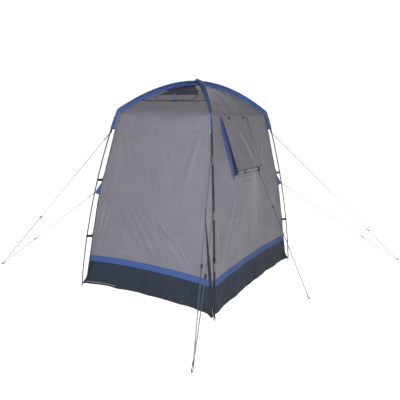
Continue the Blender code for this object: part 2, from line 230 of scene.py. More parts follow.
def surroundings():
    """A white studio with a dimmer ceiling, three lamps and a pale floor."""
    world = bpy.data.worlds.new("studio")
    world.use_nodes = True
    nodes, links = world.node_tree.nodes, world.node_tree.links
    direction = nodes.new("ShaderNodeTexCoord")
    split = nodes.new("ShaderNodeSeparateXYZ")
    links.new(direction.outputs["Generated"], split.inputs["Vector"])
    fall = nodes.new("ShaderNodeMapRange")
    fall.interpolation_type = "SMOOTHSTEP"
    glow = {"From Min": 0.25, "From Max": 0.85, "To Min": WALL_GLOW, "To Max": CEILING_GLOW}
    for name, value in glow.items():
        fall.inputs[name].default_value = value
    links.new(split.outputs["Z"], fall.inputs["Value"])
    nodes["Background"].inputs["Color"].default_value = (1.0, 1.0, 1.0, 1.0)
    links.new(fall.outputs["Result"], nodes["Background"].inputs["Strength"])
    scene = bpy.context.scene
    scene.world = world
    scene.view_settings.view_transform = "Standard"
    for name, (place, aim, size, power) in SOFTBOXES.items():
        softbox(name, place, aim, size, power)
    mesh = bpy.data.meshes.new("floor")
    far = FLOOR_HALF
    mesh.from_pydata([(-far, -far, 0), (far, -far, 0), (far, far, 0), (-far, far, 0)], [], [(0, 1, 2, 3)])
    floor = added("floor", mesh)
    floor.location.z = -FLOOR_DROP
    paint = bpy.data.materials.new("pale floor")
    paint.use_nodes = True
    shader = paint.node_tree.nodes["Principled BSDF"]
    looks = {
        "Base Color": (0.93, 0.93, 0.93, 1.0),
        "Roughness": 0.9,
        "Specular IOR Level": 0.1,
        "Emission Color": (1.0, 1.0, 1.0, 1.0),
        "Emission Strength": 0.6,
    }
    for name, value in looks.items():
        shader.inputs[name].default_value = value
    mesh.materials.append(paint)


camera()
surroundings()


# Materials -------------------------------------------------------------------------------------


class Finish:
    """A material with short calls for its nodes."""

    def __init__(self, name, colour, roughness, **shader):
        self.material = bpy.data.materials.new(name)
        self.material.use_nodes = True
        self.tree = self.material.node_tree
        self.shader = self.tree.nodes["Principled BSDF"]
        self.colour = colour
        self.set(self.shader, {"Base Color": (*colour, 1.0), "Roughness": roughness})
        self.set(self.shader, {key.replace("_", " "): value for key, value in shader.items()})

    def set(self, node, values):
        for key, value in values.items():
            if isinstance(value, bpy.types.NodeSocket):
                self.tree.links.new(value, node.inputs[key])
            else:
                node.inputs[key].default_value = value

    def node(self, kind, settings=None, **values):
        made = self.tree.nodes.new("ShaderNode" + kind)
        for key, value in (settings or {}).items():
            setattr(made, key, value)
        self.set(made, {key.replace("_", " "): value for key, value in values.items()})
        return made

    def maths(self, operation, first, second=0.0):
        made = self.node("Math", {"operation": operation})
        self.set(made, {0: first, 1: second})
        return made.outputs[0]

    def cloth_place(self):
        """The cloth's own coordinates: metres along and across it."""
        return self.node("UVMap", {"uv_map": "cloth"}).outputs["UV"]

    def solid_place(self):
        return self.node("TexCoord").outputs["Object"]

    def noise(self, place, scale, detail=3.0, roughness=0.5, distortion=0.0):
        made = self.node("TexNoise", Vector=place, Scale=scale, Detail=detail, Roughness=roughness)
        made.inputs["Distortion"].default_value = distortion
        return made.outputs[0]

    def stripes(self, place, direction, pitch, profile="SIN"):
        """Bands with this pitch in metres. A wave texture at scale 1 has them 0.31416 apart."""
        settings = {"wave_type": "BANDS", "bands_direction": direction, "wave_profile": profile}
        return self.node("TexWave", settings, Vector=place, Scale=0.31416 / pitch).outputs["Fac"]

    def shades(self, factor, low, high):
        """The finish's colour, from low to high times its brightness."""
        ramp = self.node("ValToRGB")
        self.tree.links.new(factor, ramp.inputs["Fac"])
        for stop, share in zip(ramp.color_ramp.elements, (low, high)):
            stop.color = (*(min(1.0, c * share) for c in self.colour), 1.0)
        ramp.color_ramp.elements[0].position = 0.3
        ramp.color_ramp.elements[1].position = 0.7
        self.tree.links.new(ramp.outputs["Color"], self.shader.inputs["Base Color"])

    def paint_shade_upwards(self, low, high, share):
        """Paints shade: dims the colour steadily from one height to another, to this share of it."""
        split = self.node("SeparateXYZ", Vector=self.solid_place())
        span = self.node("MapRange", Value=split.outputs["Z"])
        self.set(span, {"From Min": low, "From Max": high, "To Min": 1.0, "To Max": share})
        mixed = self.node("Mix", {"data_type": "RGBA", "blend_type": "MULTIPLY"})
        mixed.inputs["Factor"].default_value = 1.0
        old = self.shader.inputs["Base Color"].links[0].from_socket
        self.tree.links.new(old, mixed.inputs["A"])
        self.tree.links.new(span.outputs["Result"], mixed.inputs["B"])
        self.tree.links.new(mixed.outputs["Result"], self.shader.inputs["Base Color"])

    def relief(self, *layers):
        """Bumps one over another: (height socket, depth in metres)."""
        normal = None
        for height, depth in layers:
            made = self.node("Bump", Height=height, Distance=depth, Strength=1.0)
            if normal:
                self.tree.links.new(normal, made.inputs["Normal"])
            normal = made.outputs["Normal"]
        self.tree.links.new(normal, self.shader.inputs["Normal"])

    def rough(self, factor, low, high):
        span = self.node("MapRange", Value=factor)
        self.set(span, {"To Min": low, "To Max": high})
        self.tree.links.new(span.outputs["Result"], self.shader.inputs["Roughness"])


THREAD = 0.0011  # pitch of the polyester's weave


def fabric(name, colour, crease=0.0016, sheen=0.12, spread=0.10, eave=1.0):
    """Coated polyester: a plain weave, soft handling creases and faint uneven dye. An eave share below 1
    paints shade, darker towards the top.
    """
    made = Finish(name, colour, 0.66, Sheen_Weight=sheen, Sheen_Roughness=0.4, Specular_IOR_Level=0.15)
    place = made.cloth_place()
    weave = made.maths("MULTIPLY", made.stripes(place, "X", THREAD), made.stripes(place, "Y", THREAD))
    rumple = made.noise(place, 9.0, 4.0, 0.55, 0.6)
    ripple = made.noise(place, 38.0, 3.0, 0.5, 1.2)
    dye = made.noise(place, 3.2, 5.0, 0.6)
    tone = made.maths("ADD", made.maths("MULTIPLY", dye, 0.8), made.maths("MULTIPLY", weave, 0.25))
    made.shades(tone, 1 - spread, 1 + spread)
    # Painted shade: the colour darkens towards the top.
    if eave < 1:
        made.paint_shade_upwards(1.25, 1.90, eave)
    made.relief((rumple, crease * 4), (ripple, crease * 0.5), (weave, 0.00005))
    made.rough(ripple, 0.55, 0.72)
    return made.material


def webbing(name, colour, rib=0.0016):
    """Woven tape: ribs across it and threads along it."""
    made = Finish(name, colour, 0.75, Sheen_Weight=0.04, Specular_IOR_Level=0.15)
    place = made.cloth_place()
    ribs = made.stripes(place, "X", rib)
    threads = made.stripes(place, "Y", rib * 0.7)
    both = made.maths("MULTIPLY", ribs, threads)
    made.shades(made.maths("ADD", made.maths("MULTIPLY", both, 0.5), made.noise(place, 60.0)), 0.72, 1.15)
    made.relief((both, 0.00035))
    return made.material


def zip_tape(name, colour):
    """Zip tape: a fine cross rib with the closely spaced coil's teeth."""
    made = Finish(name, colour, 0.6, Specular_IOR_Level=0.15)
    place = made.cloth_place()
    teeth = made.stripes(place, "X", 0.0021, "SAW")
    made.shades(made.maths("ADD", made.maths("MULTIPLY", teeth, 0.6), made.noise(place, 90.0)), 0.65, 1.2)
    made.relief((teeth, 0.0002))
    made.rough(teeth, 0.5, 0.7)
    return made.material


def insect_mesh():
    """Fine black net."""
    made = Finish("black insect mesh", (0.031, 0.030, 0.040), 0.9, Specular_IOR_Level=0.02)
    place = made.cloth_place()
    net = made.maths("MAXIMUM", made.stripes(place, "X", 0.0014), made.stripes(place, "Y", 0.0014))
    made.shades(net, 0.5, 1.6)
    made.relief((net, 0.0001))
    return made.material


def plastic(name, colour):
    """Moulded plastic with a fine grain."""
    made = Finish(name, colour, 0.50, Specular_IOR_Level=0.22)
    place = made.solid_place()
    grain = made.noise(place, 900.0, 2.0)
    made.shades(made.noise(place, 30.0), 0.85, 1.2)
    made.relief((grain, 0.00008))
    made.rough(made.noise(place, 120.0), 0.44, 0.60)
    return made.material


def rod_finish():
    """Pultruded fibreglass: faint glass streaks along the rod."""
    made = Finish("black fibreglass", (0.006, 0.006, 0.007), 0.60, Specular_IOR_Level=0.12)
    place = made.cloth_place()
    squeezed = made.node("Mapping", Vector=place, Scale=(4.0, 900.0, 1.0)).outputs["Vector"]
    streaks = made.noise(squeezed, 1.0, 4.0)
    made.shades(streaks, 0.75, 1.5)
    made.rough(streaks, 0.42, 0.58)
    made.relief((streaks, 0.00006))
    return made.material


def metal(name, colour, roughness):
    """Zinc-plated steel with fine drawing lines and dull patches."""
    made = Finish(name, colour, roughness, Metallic=1.0)
    place = made.cloth_place()
    drawn = made.node("Mapping", Vector=place, Scale=(12.0, 1400.0, 1.0)).outputs["Vector"]
    lines = made.noise(drawn, 1.0, 3.0)
    patches = made.noise(made.solid_place(), 55.0, 4.0)
    made.shades(made.maths("MULTIPLY", made.maths("ADD", lines, patches), 0.5), 0.75, 1.15)
    made.rough(patches, roughness - 0.08, roughness + 0.18)
    made.relief((lines, 0.00005))
    return made.material


def braid(name, colour):
    """Braided guy line with a fleck in its plait."""
    made = Finish(name, colour, 0.75, Sheen_Weight=0.05)
    place = made.cloth_place()
    turned = made.node("Mapping", Vector=place, Rotation=(0, 0, math.radians(42))).outputs["Vector"]
    plait = made.maths("MULTIPLY", made.stripes(turned, "X", 0.0016), made.stripes(turned, "Y", 0.0016))
    made.shades(plait, 0.6, 1.25)
    made.relief((plait, 0.0003))
    return made.material


GREY = (0.082, 0.080, 0.093)

WALL_CLOTH = fabric("grey polyester", GREY)
# The window wall's cloth, with painted shade that darkens its upper part towards the eave.
WINDOW_WALL_SHADED_CLOTH = fabric("grey polyester, window wall, painted shade above", GREY, eave=0.76)
# The window flap's cloth: a darker copy of the wall's grey, whose colour paints the shade on the flap.
FLAP_SHADED_CLOTH = fabric("grey polyester, painted flap shade", (0.064, 0.063, 0.074))
# The roof's cloth: a darker copy of the wall's grey, whose colour paints the shade on the roof.
ROOF_SHADED_CLOTH = fabric("dark grey polyester", (0.0425, 0.0415, 0.0500))
NAVY_CLOTH = fabric("navy polyester", (0.0082, 0.0120, 0.0200), crease=0.0020, sheen=0.0, spread=0.16)
BLUE_CLOTH = fabric("blue polyester", (0.0175, 0.040, 0.125), crease=0.0012, sheen=0.0, spread=0.14)
# A paler copy of the grey cloth. On the window flap's hem roll, its colour paints a highlight. On the door,
# it draws a pale strip along the hem.
HEM_CLOTH = fabric("pale grey polyester, partly painted highlight", (0.125, 0.122, 0.138), crease=0.0008)
# A near-black lining whose colour paints the shade of the vent's opening.
VENT_SHADE_CLOTH = fabric("dark lining, painted vent shade", (0.032, 0.031, 0.042), sheen=0.0, spread=0.15)
BLACK_TAPE = webbing("black webbing", (0.011, 0.011, 0.013))
BLUE_TAPE = webbing("blue webbing", (0.048, 0.084, 0.155))
GUSSET_CLOTH = fabric("dark blue polyester", (0.0140, 0.0235, 0.076), crease=0.0010)
SLATE_TAPE = webbing("slate tape", (0.024, 0.027, 0.052))
SLATE_CLOTH = fabric("slate blue polyester", (0.075, 0.085, 0.117), crease=0.0008)
NAVY_TAPE = webbing("navy binding", (0.012, 0.018, 0.032), 0.0011)
GREY_TAPE = webbing("grey seam tape", (0.034, 0.033, 0.040), 0.0012)
DARK_ZIP = zip_tape("dark zip", (0.008, 0.008, 0.011))
NET = insect_mesh()
ROD = rod_finish()
STEEL = metal("zinc-plated steel", (0.085, 0.086, 0.090), 0.50)
BRIGHT_STEEL = metal("bright steel", (0.36, 0.36, 0.38), 0.35)
EYELET = metal("blackened eyelet", (0.10, 0.10, 0.11), 0.40)
CORD = braid("grey guy line", (0.020, 0.022, 0.026))
PLASTIC = plastic("black moulded plastic", (0.009, 0.009, 0.010))

# The slot each finish belongs to, where a piece names no other
SLOTS = {
    "grey_fabric": (WALL_CLOTH, WINDOW_WALL_SHADED_CLOTH, FLAP_SHADED_CLOTH, HEM_CLOTH),
    "roof_fabric": (ROOF_SHADED_CLOTH, GREY_TAPE),
    "navy_fabric": (NAVY_CLOTH, NAVY_TAPE),
    "blue_fabric": (BLUE_CLOTH, BLUE_TAPE, GUSSET_CLOTH, SLATE_CLOTH, SLATE_TAPE),
    "black_mesh": (NET, VENT_SHADE_CLOTH),
    "black_plastic": (PLASTIC, BLACK_TAPE, DARK_ZIP),
    "steel": (STEEL, BRIGHT_STEEL, EYELET),
    "pole": (ROD,),
    "cord": (CORD,),
}
SLOT_OF = {finish.name: slot for slot, finishes in SLOTS.items() for finish in finishes}


# Making pieces ---------------------------------------------------------------------------------


def grid_faces(rows, columns, wrap=False):
    """Quads of a grid of points, counted row by row."""
    index = np.arange(rows * columns).reshape(rows, columns)
    right = np.roll(index, -1, axis=1)
    last = columns if wrap else columns - 1
    corners = (index[:-1, :last], right[:-1, :last], right[1:, :last], index[1:, :last])
    return np.stack(corners, axis=-1).reshape(-1, 4)


def tube_places(u, v):
    """The places on the cloth of each quad's corners, for rings u apart whose points are v apart."""
    places = []
    for row in range(len(u) - 1):
        for column in range(len(v) - 1):
            ends = ((row, column), (row, column + 1), (row + 1, column + 1), (row + 1, column))
            places.append([(u[i], v[j]) for i, j in ends])
    return places


class Shape:
    """Collects surfaces for one piece, each point with its place on the cloth in metres."""

    def __init__(self):
        self.points, self.faces, self.places = [], [], []

    def add(self, points, faces, places):
        first = len(self.points)
        self.points += [tuple(p) for p in points]
        for face, where in zip(faces, places):
            self.faces.append(tuple(int(i) + first for i in face))
            self.places += [tuple(w) for w in where]

    def sheet(self, grid, keep=None, flip=False):
        """A sheet through a grid of points, rows by columns."""
        grid = np.asarray(grid, float)
        rows, columns = grid.shape[:2]
        across = np.linalg.norm(np.diff(grid, axis=1), axis=2)
        u = np.concatenate([np.zeros((rows, 1)), np.cumsum(across, axis=1)], axis=1)
        u -= u[:, -1:] / 2
        along = np.linalg.norm(np.diff(grid, axis=0), axis=2)
        v = np.concatenate([np.zeros((1, columns)), np.cumsum(along, axis=0)], axis=0)
        places = np.stack([u, v], axis=-1).reshape(-1, 2)
        faces = grid_faces(rows, columns)
        if keep is not None:
            faces = faces[np.asarray(keep).reshape(-1)]
        if flip:
            faces = faces[:, ::-1]
        self.add(grid.reshape(-1, 3), faces, places[faces])
        return self

    def sweep(self, line, profile, side=None, scale=None, closed=False):
        """A profile of (side, up) offsets carried along a line of points."""
        line, profile = np.asarray(line, float), np.asarray(profile, float)
        tangent = np.roll(line, -1, 0) - np.roll(line, 1, 0) if closed else np.gradient(line, axis=0)
        tangent /= np.linalg.norm(tangent, axis=1)[:, None]
        if side is None:
            side = carried_side(tangent)
        side = np.broadcast_to(np.asarray(side, float), line.shape).copy()
        side -= (side * tangent).sum(1)[:, None] * tangent
        side /= np.linalg.norm(side, axis=1)[:, None]
        up = np.cross(tangent, side)
        size = np.ones(len(line)) if scale is None else np.asarray(scale, float)
        if size.ndim == 1:
            size = np.stack([size, size], axis=1)
        rings = line[:, None] + side[:, None] * (profile[None, :, :1] * size[:, None, :1])
        rings = rings + up[:, None] * (profile[None, :, 1:] * size[:, None, 1:])
        count, around = len(line), len(profile)
        if closed:
            rings = np.concatenate([rings, rings[:1]])
            count += 1
        steps = np.linalg.norm(np.diff(rings[:, 0], axis=0), axis=1)
        u = np.concatenate([[0.0], np.cumsum(steps)])
        edges = np.linalg.norm(np.roll(profile, -1, 0) - profile, axis=1)
        v = np.concatenate([[0.0], np.cumsum(edges)])
        faces = grid_faces(count, around, wrap=True)
        places = tube_places(u, v)
        if closed:
            faces = np.where(faces >= (count - 1) * around, faces - (count - 1) * around, faces)
            rings = rings[:-1]
        self.add(rings.reshape(-1, 3), faces[:, ::-1], [p[::-1] for p in places])
        if not closed:
            first = len(self.points) - count * around
            for ring, order in ((0, 1), (count - 1, -1)):
                face = [first + ring * around + i for i in range(around)][::order]
                self.faces.append(tuple(face))
                self.places += [tuple(p) for p in profile[::order]]
        return self

    def made(self, name, finish):
        mesh = bpy.data.meshes.new(name)
        mesh.from_pydata(self.points, [], self.faces)
        layer = mesh.uv_layers.new(name="cloth")
        layer.data.foreach_set("uv", np.asarray(self.places, np.float32).ravel())
        mesh.materials.append(finish)
        mesh.shade_smooth()
        return added(name, mesh)


def carried_side(tangent):
    """Sides that turn as little as they can along a line."""
    start = np.cross(tangent[0], (0.0, 0.0, 1.0))
    if np.linalg.norm(start) < 0.1:
        start = np.cross(tangent[0], (1.0, 0.0, 0.0))
    sides = [start / np.linalg.norm(start)]
    for direction in tangent[1:]:
        side = sides[-1] - (sides[-1] @ direction) * direction
        sides.append(side / np.linalg.norm(side))
    return np.array(sides)


def circle(radius, count=12):
    """A round outline."""
    turns = np.arange(count) / count * 2 * math.pi
    return np.stack([np.cos(turns), np.sin(turns)], axis=1) * radius


def flat(width, thickness):
    """The outline of a flat tape with rounded edges."""
    w, t = width / 2, thickness / 2
    r = t * 0.8
    below = [(-w + r, -t), (w - r, -t), (w, -t + r)]
    above = [(w, t - r), (w - r, t), (-w + r, t)]
    return [*below, *above, (-w, t - r), (-w, -t + r)]


# A flat tape of unit width and 1.8 mm thickness, to be scaled along its length
RIBBON = [(-0.5, -0.0005), (-0.44, -0.0009), (0.44, -0.0009), (0.5, -0.0005)]
RIBBON += [(-a, -b) for a, b in RIBBON]


def cleared(piece):
    """The piece without the points that no face uses."""
    used = set(i for face in piece.data.polygons for i in face.vertices)
    if len(used) < len(piece.data.vertices):
        shape = bmesh.new()
        shape.from_mesh(piece.data)
        loose = [v for v in shape.verts if not v.link_faces]
        bmesh.ops.delete(shape, geom=loose, context="VERTS")
        shape.to_mesh(piece.data)
        shape.free()
    return piece


def thick(piece, thickness=CLOTH, offset=-1.0):
    """The sheet with its cloth's thickness, and its loose and doubled points removed."""
    cleared(piece)
    weld = piece.modifiers.new("weld", "WELD")
    weld.merge_threshold = 0.00005
    solid = piece.modifiers.new("cloth", "SOLIDIFY")
    solid.thickness, solid.offset = thickness, offset
    bpy.context.view_layer.update()
    depsgraph = bpy.context.evaluated_depsgraph_get()
    seen = piece.evaluated_get(depsgraph)
    mesh = bpy.data.meshes.new_from_object(seen, preserve_all_data_layers=True, depsgraph=depsgraph)
    piece.modifiers.clear()
    piece.data = mesh
    piece.data.set_sharp_from_angle(angle=math.radians(55))
    return piece


def settle(piece, body, slot, *nodes):
    """Rides the piece on its body and stands it in for CAD nodes. The slot is not used."""
    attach(piece, body)
    if nodes:
        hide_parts(*nodes)
    return piece


def put(shape, name, finish, body="cabin", *nodes, slot=None, thickness=None, offset=0.0):
    """Makes a shape's piece and settles it. A thickness is given to sheets only."""
    piece = shape.made(name, finish)
    if thickness:
        thick(piece, thickness, offset)
    return settle(piece, body, slot or SLOT_OF[finish.name], *nodes)


def offsets(place, *steps):
    """Points at these steps from a place."""
    return [place + Vector(step) for step in steps]


# Guy lines, pegs and runners -------------------------------------------------------------------

LOOP_RADIUS = 0.0065  # of a guy's turn round its peg, and between its two strands
EYE_LENGTH = 0.075  # of the eye at a guy's upper end


def guy_route(start, foot, end_z):
    """Centreline from the tent round the peg, and the direction beside it."""
    back = Vector((start.x - foot.x, start.y - foot.y, 0)).normalized()
    end = foot + back * PEG_CLEARANCE + Vector((0, 0, end_z))
    side = Vector((-back.y, back.x, 0))
    points = []
    count = 26
    for i in range(count):
        share = i / (count - 1)
        point = start.lerp(end, share ** 0.7)
        left = (end - point).length
        points.append(point + side * LOOP_RADIUS * float(smooth(1 - left / 0.09)))
    for turn in range(10, 171, 20):
        angle = math.radians(turn)
        round_peg = side * math.cos(angle) - back * math.sin(angle)
        points.append(foot + round_peg * LOOP_RADIUS + Vector((0, 0, end_z)))
    points.append(end - side * LOOP_RADIUS)
    return points, end, side


def length_of(points):
    return sum((b - a).length for a, b in zip(points, points[1:]))


def guy(name, start, foot, end_z, share):
    """A guy: its line down to the peg and round it, the return strand up to the runner, and a knot."""
    route, end, side = guy_route(start, foot, end_z)
    line = Shape().sweep(route, circle(GUY_DIAMETER / 2, 8)).made(name, CORD)
    along = (end - start).normalized()
    knot = guy_knot(f"{name}_knot", start, along, side)
    follows_flap = name == "window_guy"
    runner_top = start.lerp(end, share) - along * RUNNER_LENGTH
    for piece in (line, knot):
        if follows_flap:
            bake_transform(piece)
        else:
            settle(piece, "cabin", "cord")
    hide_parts(name)
    length_of(route)
    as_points(route)

    runner_at = start.lerp(end, share)
    top = runner_at - side * LOOP_RADIUS + along * (RUNNER_LENGTH * 0.35)
    foot_end = end - side * LOOP_RADIUS - along * 0.002
    strand = [top.lerp(foot_end, i / 15) for i in range(16)]
    back = Shape().sweep(strand, circle(GUY_DIAMETER / 2, 8)).made(f"{name}_return", CORD)
    settle(back, "cabin", "cord")
    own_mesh(back)
    runner(f"{name}_slider", runner_at, along, side, f"{name}_runner")


def guy_knot(name, start, along, side):
    """The eye at a guy's upper end: its short tail beside the line and the knot that holds it."""
    out = along.cross(side).normalized()
    at = start + along * EYE_LENGTH
    eye = []
    for i in range(13):
        share = i / 12
        bulge = math.sin(math.pi * share) * 0.0055 + 0.0012
        eye.append(start + along * (EYE_LENGTH * share) + side * bulge + out * 0.0012)
    shape = Shape().sweep(eye, circle(GUY_DIAMETER / 2 * 0.9, 8))
    turns = []
    for i in range(36):
        t = i / 36 * 2 * math.pi
        a = math.sin(t) + 2 * math.sin(2 * t)
        b = math.cos(t) - 2 * math.cos(2 * t)
        c = -math.sin(3 * t)
        turns.append(at + side * a * 0.0016 + out * b * 0.0016 + along * c * 0.0022)
    shape.sweep(turns, circle(GUY_DIAMETER / 2 * 0.85, 8), closed=True)
    tail = [at + side * 0.002 + (side * 0.4 + along * 0.9) * 0.022 * i / 4 for i in range(5)]
    shape.sweep(tail, circle(GUY_DIAMETER / 2 * 0.85, 8))
    return shape.made(name, CORD)


def runner(name, place, along, side, node):
    """A moulded slider with two bores and flat sides, waisted for the fingers."""
    shape = bmesh.new()
    half = [(0.25, 0.95), (0.46, 1.0), (0.5, 0.90)]
    levels = [(-share, width) for share, width in reversed(half)] + [(0.0, 0.80)] + half
    bore = GUY_DIAMETER / 2 + 0.0005
    bores = (0.0, -LOOP_RADIUS)
    outer_rings, bore_rings = [], [[] for _ in bores]
    across = along.cross(side).normalized()

    def world(a, b, share):
        return place + side * a + across * b + along * (RUNNER_LENGTH * share)

    for share, width in levels:
        ring = []
        for i in range(24):
            t = i / 24 * 2 * math.pi
            a = (math.cos(t) * RUNNER_END + math.copysign(RUNNER_FLAT, math.cos(t))) * width
            b = math.sin(t) * RUNNER_DEPTH * width
            ring.append(shape.verts.new(world(a - LOOP_RADIUS / 2, b, share)))
        outer_rings.append(ring)
        for rings, middle in zip(bore_rings, bores):
            loop = []
            for i in range(12):
                t = i / 12 * 2 * math.pi
                loop.append(shape.verts.new(world(middle + bore * math.cos(t), bore * math.sin(t), share)))
            rings.append(loop)
    for rings in [outer_rings] + bore_rings:
        for low, high in zip(rings, rings[1:]):
            for i in range(len(low)):
                j = (i + 1) % len(low)
                shape.faces.new((low[i], low[j], high[j], high[i]))
    for level in (0, -1):
        edges = []
        for rings in [outer_rings] + bore_rings:
            ring = rings[level]
            for i in range(len(ring)):
                edges.append(shape.edges.get((ring[i], ring[(i + 1) % len(ring)])))
        bmesh.ops.triangle_fill(shape, edges=edges, use_beauty=True)
    bmesh.ops.recalc_face_normals(shape, faces=shape.faces)
    mesh = bpy.data.meshes.new(name)
    shape.to_mesh(mesh)
    shape.free()
    mesh.shade_smooth()
    mesh.set_sharp_from_angle(angle=math.radians(50))
    mesh.materials.append(PLASTIC)
    settle(added(name, mesh), node, "black_plastic", node)


def rounded_line(points, count):
    """A smooth line through points, as a Catmull-Rom curve."""
    points = [Vector(p) for p in points]
    padded = [points[0] * 2 - points[1]] + points + [points[-1] * 2 - points[-2]]
    line = []
    spans = len(points) - 1
    for i in range(count):
        where = i / (count - 1) * spans
        k = min(int(where), spans - 1)
        t = where - k
        a, b, c, d = padded[k : k + 4]
        near = 2 * b + (c - a) * t + (2 * a - 5 * b + 4 * c - d) * t**2
        line.append(0.5 * (near + (3 * b - a - 3 * c + d) * t**3))
    return line


def peg(name, foot, outward):
    """The steel peg's shank and hook above the ground."""
    points = [foot + outward * along + Vector((0, 0, z)) for along, z in PEG_PROFILE]
    line = rounded_line(points, 22)
    taper = [1.0] * 20 + [0.85, 0.55]
    shape = Shape().sweep(line, circle(0.0025, 14), scale=taper)
    return put(shape, f"{name}_steel", STEEL, "cabin", name)


def guys():
    """Two guys at each corner with a peg for both, and the window flap's guy."""
    for corner, (*_, peg_x, peg_y, upper, lower) in CORNERS.items():
        foot = Vector((peg_x, peg_y, 0))
        steel = peg(f"{corner}_peg", foot, foot.normalized())
        levels = (
            ("upper", UPPER_GUY_Z, UPPER_GUY_END_Z, upper),
            ("lower", LOWER_GUY_Z, LOWER_GUY_END_Z, lower),
        )
        for level, height, end_z, share in levels:
            start = pole_at(corner, height, GUY_START)
            guy(f"{corner}_{level}_guy", start, foot, end_z, share)
    foot = Vector((*WINDOW_PEG, 0))
    steel = peg("window_peg", foot, Vector((1, 0, 0)))
    hem_x = HALF_X * fabric_reach(FLAP_HEM_Z) / REACH + FLAP_OUT
    start = Vector((hem_x + 0.004, WINDOW_GUY_Y, FLAP_HEM_Z - 0.006))
    guy("window_guy", start, foot, LOWER_GUY_END_Z, WINDOW_RUNNER_SHARE)


guys()


# Poles -----------------------------------------------------------------------------------------


def leg_line(corner, low, high):
    """A leg's centre line between two heights."""
    return [pole_at(corner, z) for z in np.linspace(low, high, 14)]


def ferrule(name, line, node):
    """A steel ferrule with its two rolled-in ends."""
    shares = np.linspace(0, 1, 25)
    smooth_line = rounded_line(line, 25)
    edge = np.minimum(shares, 1 - shares)
    size = FERRULE_RADIUS * (1 - 0.16 * np.exp(-((edge / 0.018) ** 2)))
    size -= 0.0004 * np.exp(-(((edge - 0.16) / 0.02) ** 2))
    put(Shape().sweep(smooth_line, circle(1.0, 20), scale=size), name, STEEL, "cabin", node)


def pole_rod(node, line):
    put(Shape().sweep(line, circle(POLE_RADIUS, 20)), f"{node}_rod", ROD, "cabin", node)


def poles():
    """The four jointed legs with their elbows and foot pins, and the two roof poles."""
    for corner in CORNERS:
        bottom = PIN_HEIGHT + SECTION_GAP
        for number, height in enumerate(FERRULE_HEIGHTS, 1):
            low, high = height - FERRULE_LENGTH / 2, height + FERRULE_LENGTH / 2
            node = f"{corner}_leg_section_{number}"
            pole_rod(node, leg_line(corner, bottom, low + 0.004))
            ferrule(f"{node}_ferrule", leg_line(corner, low, high), node)
            bottom = high + SECTION_GAP
        side = 1 if CORNERS[corner][0] != CORNERS[corner][1] else -1
        node = f"{corner}_elbow"
        pole_rod(node, leg_line(corner, bottom, 1.86))
        bend = [pole_at(corner, z) for z in (1.852, 1.875, 1.900)]
        bend.append(at_corner(corner, 0.903, arch_height(0.903, side) - 0.002))
        bend += [at_corner(corner, reach, arch_height(reach, side)) for reach in (0.885, 0.862, 0.840)]
        tube = Shape().sweep(rounded_line(bend, 30), circle(FERRULE_RADIUS, 20))
        put(tube, f"{node}_bend", STEEL, "cabin", node)
        pin = [at_corner(corner, REACH, z) for z in (0.0, 0.003, 0.006, 0.024, 0.028, PIN_HEIGHT)]
        pin_size = [0.0030, 0.0045, 0.0045, 0.0045, 0.0045, 0.0040]
        cap = Shape().sweep(pin, circle(1.0, 18), scale=pin_size)
        put(cap, f"{corner}_foot_pin_steel", BRIGHT_STEEL, "cabin", f"{corner}_foot_pin")
    for node, corner, side in (("roof_pole_over", "front_right", 1), ("roof_pole_under", "rear_right", -1)):
        reaches = np.linspace(-0.8396, 0.8396, 61)
        pole_rod(node, [at_corner(corner, reach, arch_height(reach, side)) for reach in reaches])
        for sign in (-1, 1):
            ends = np.linspace(*ARCH_FERRULE, 8) * sign
            joint_line = [at_corner(corner, reach, arch_height(reach, side)) for reach in ends]
            ferrule(f"{node}_ferrule_{'a' if sign < 0 else 'b'}", joint_line, node)


poles()


# Cabin surfaces --------------------------------------------------------------------------------

EAVE = FABRIC_REACH[-1][1] / REACH
EAVE_Z = roof_height(EAVE)
SEAM_SHARE = 0.4835  # the seam across the front of the roof, below the vent flap
FILLET_FROM, FILLET_TO = 1.795, 0.595  # the wall's height and the roof's share where the eave's bend starts
CLIP_HEIGHTS = (0.575, 1.185)
TAB_Z = 1.095
ZIP_FOOT_OUT = 0.024  # the stiff zip beside the flap holds the wall out at its foot
HEM_RISE = 0.036  # the skirt, held at its corners, arches up between them
DOOR_DIP = 0.030  # the door hangs down at its zipped corner
CORNER_TUG = 0.032  # and the straps draw its corners out
CORNER_LIFT = 0.020  # the fixed strip beside the zip ends higher than the door
PALE_STRIP_END = -0.38  # how far along the door the pale strip on its hem runs

# wall: (axis that runs along it, sign of its outward axis, how soft its eave is)
WALLS = {
    "front": ("x", -1, 1.0),
    "rear": ("x", 1, 1.0),
    "window": ("y", 1, 0.25),
    "plain": ("y", -1, 1.0),
}

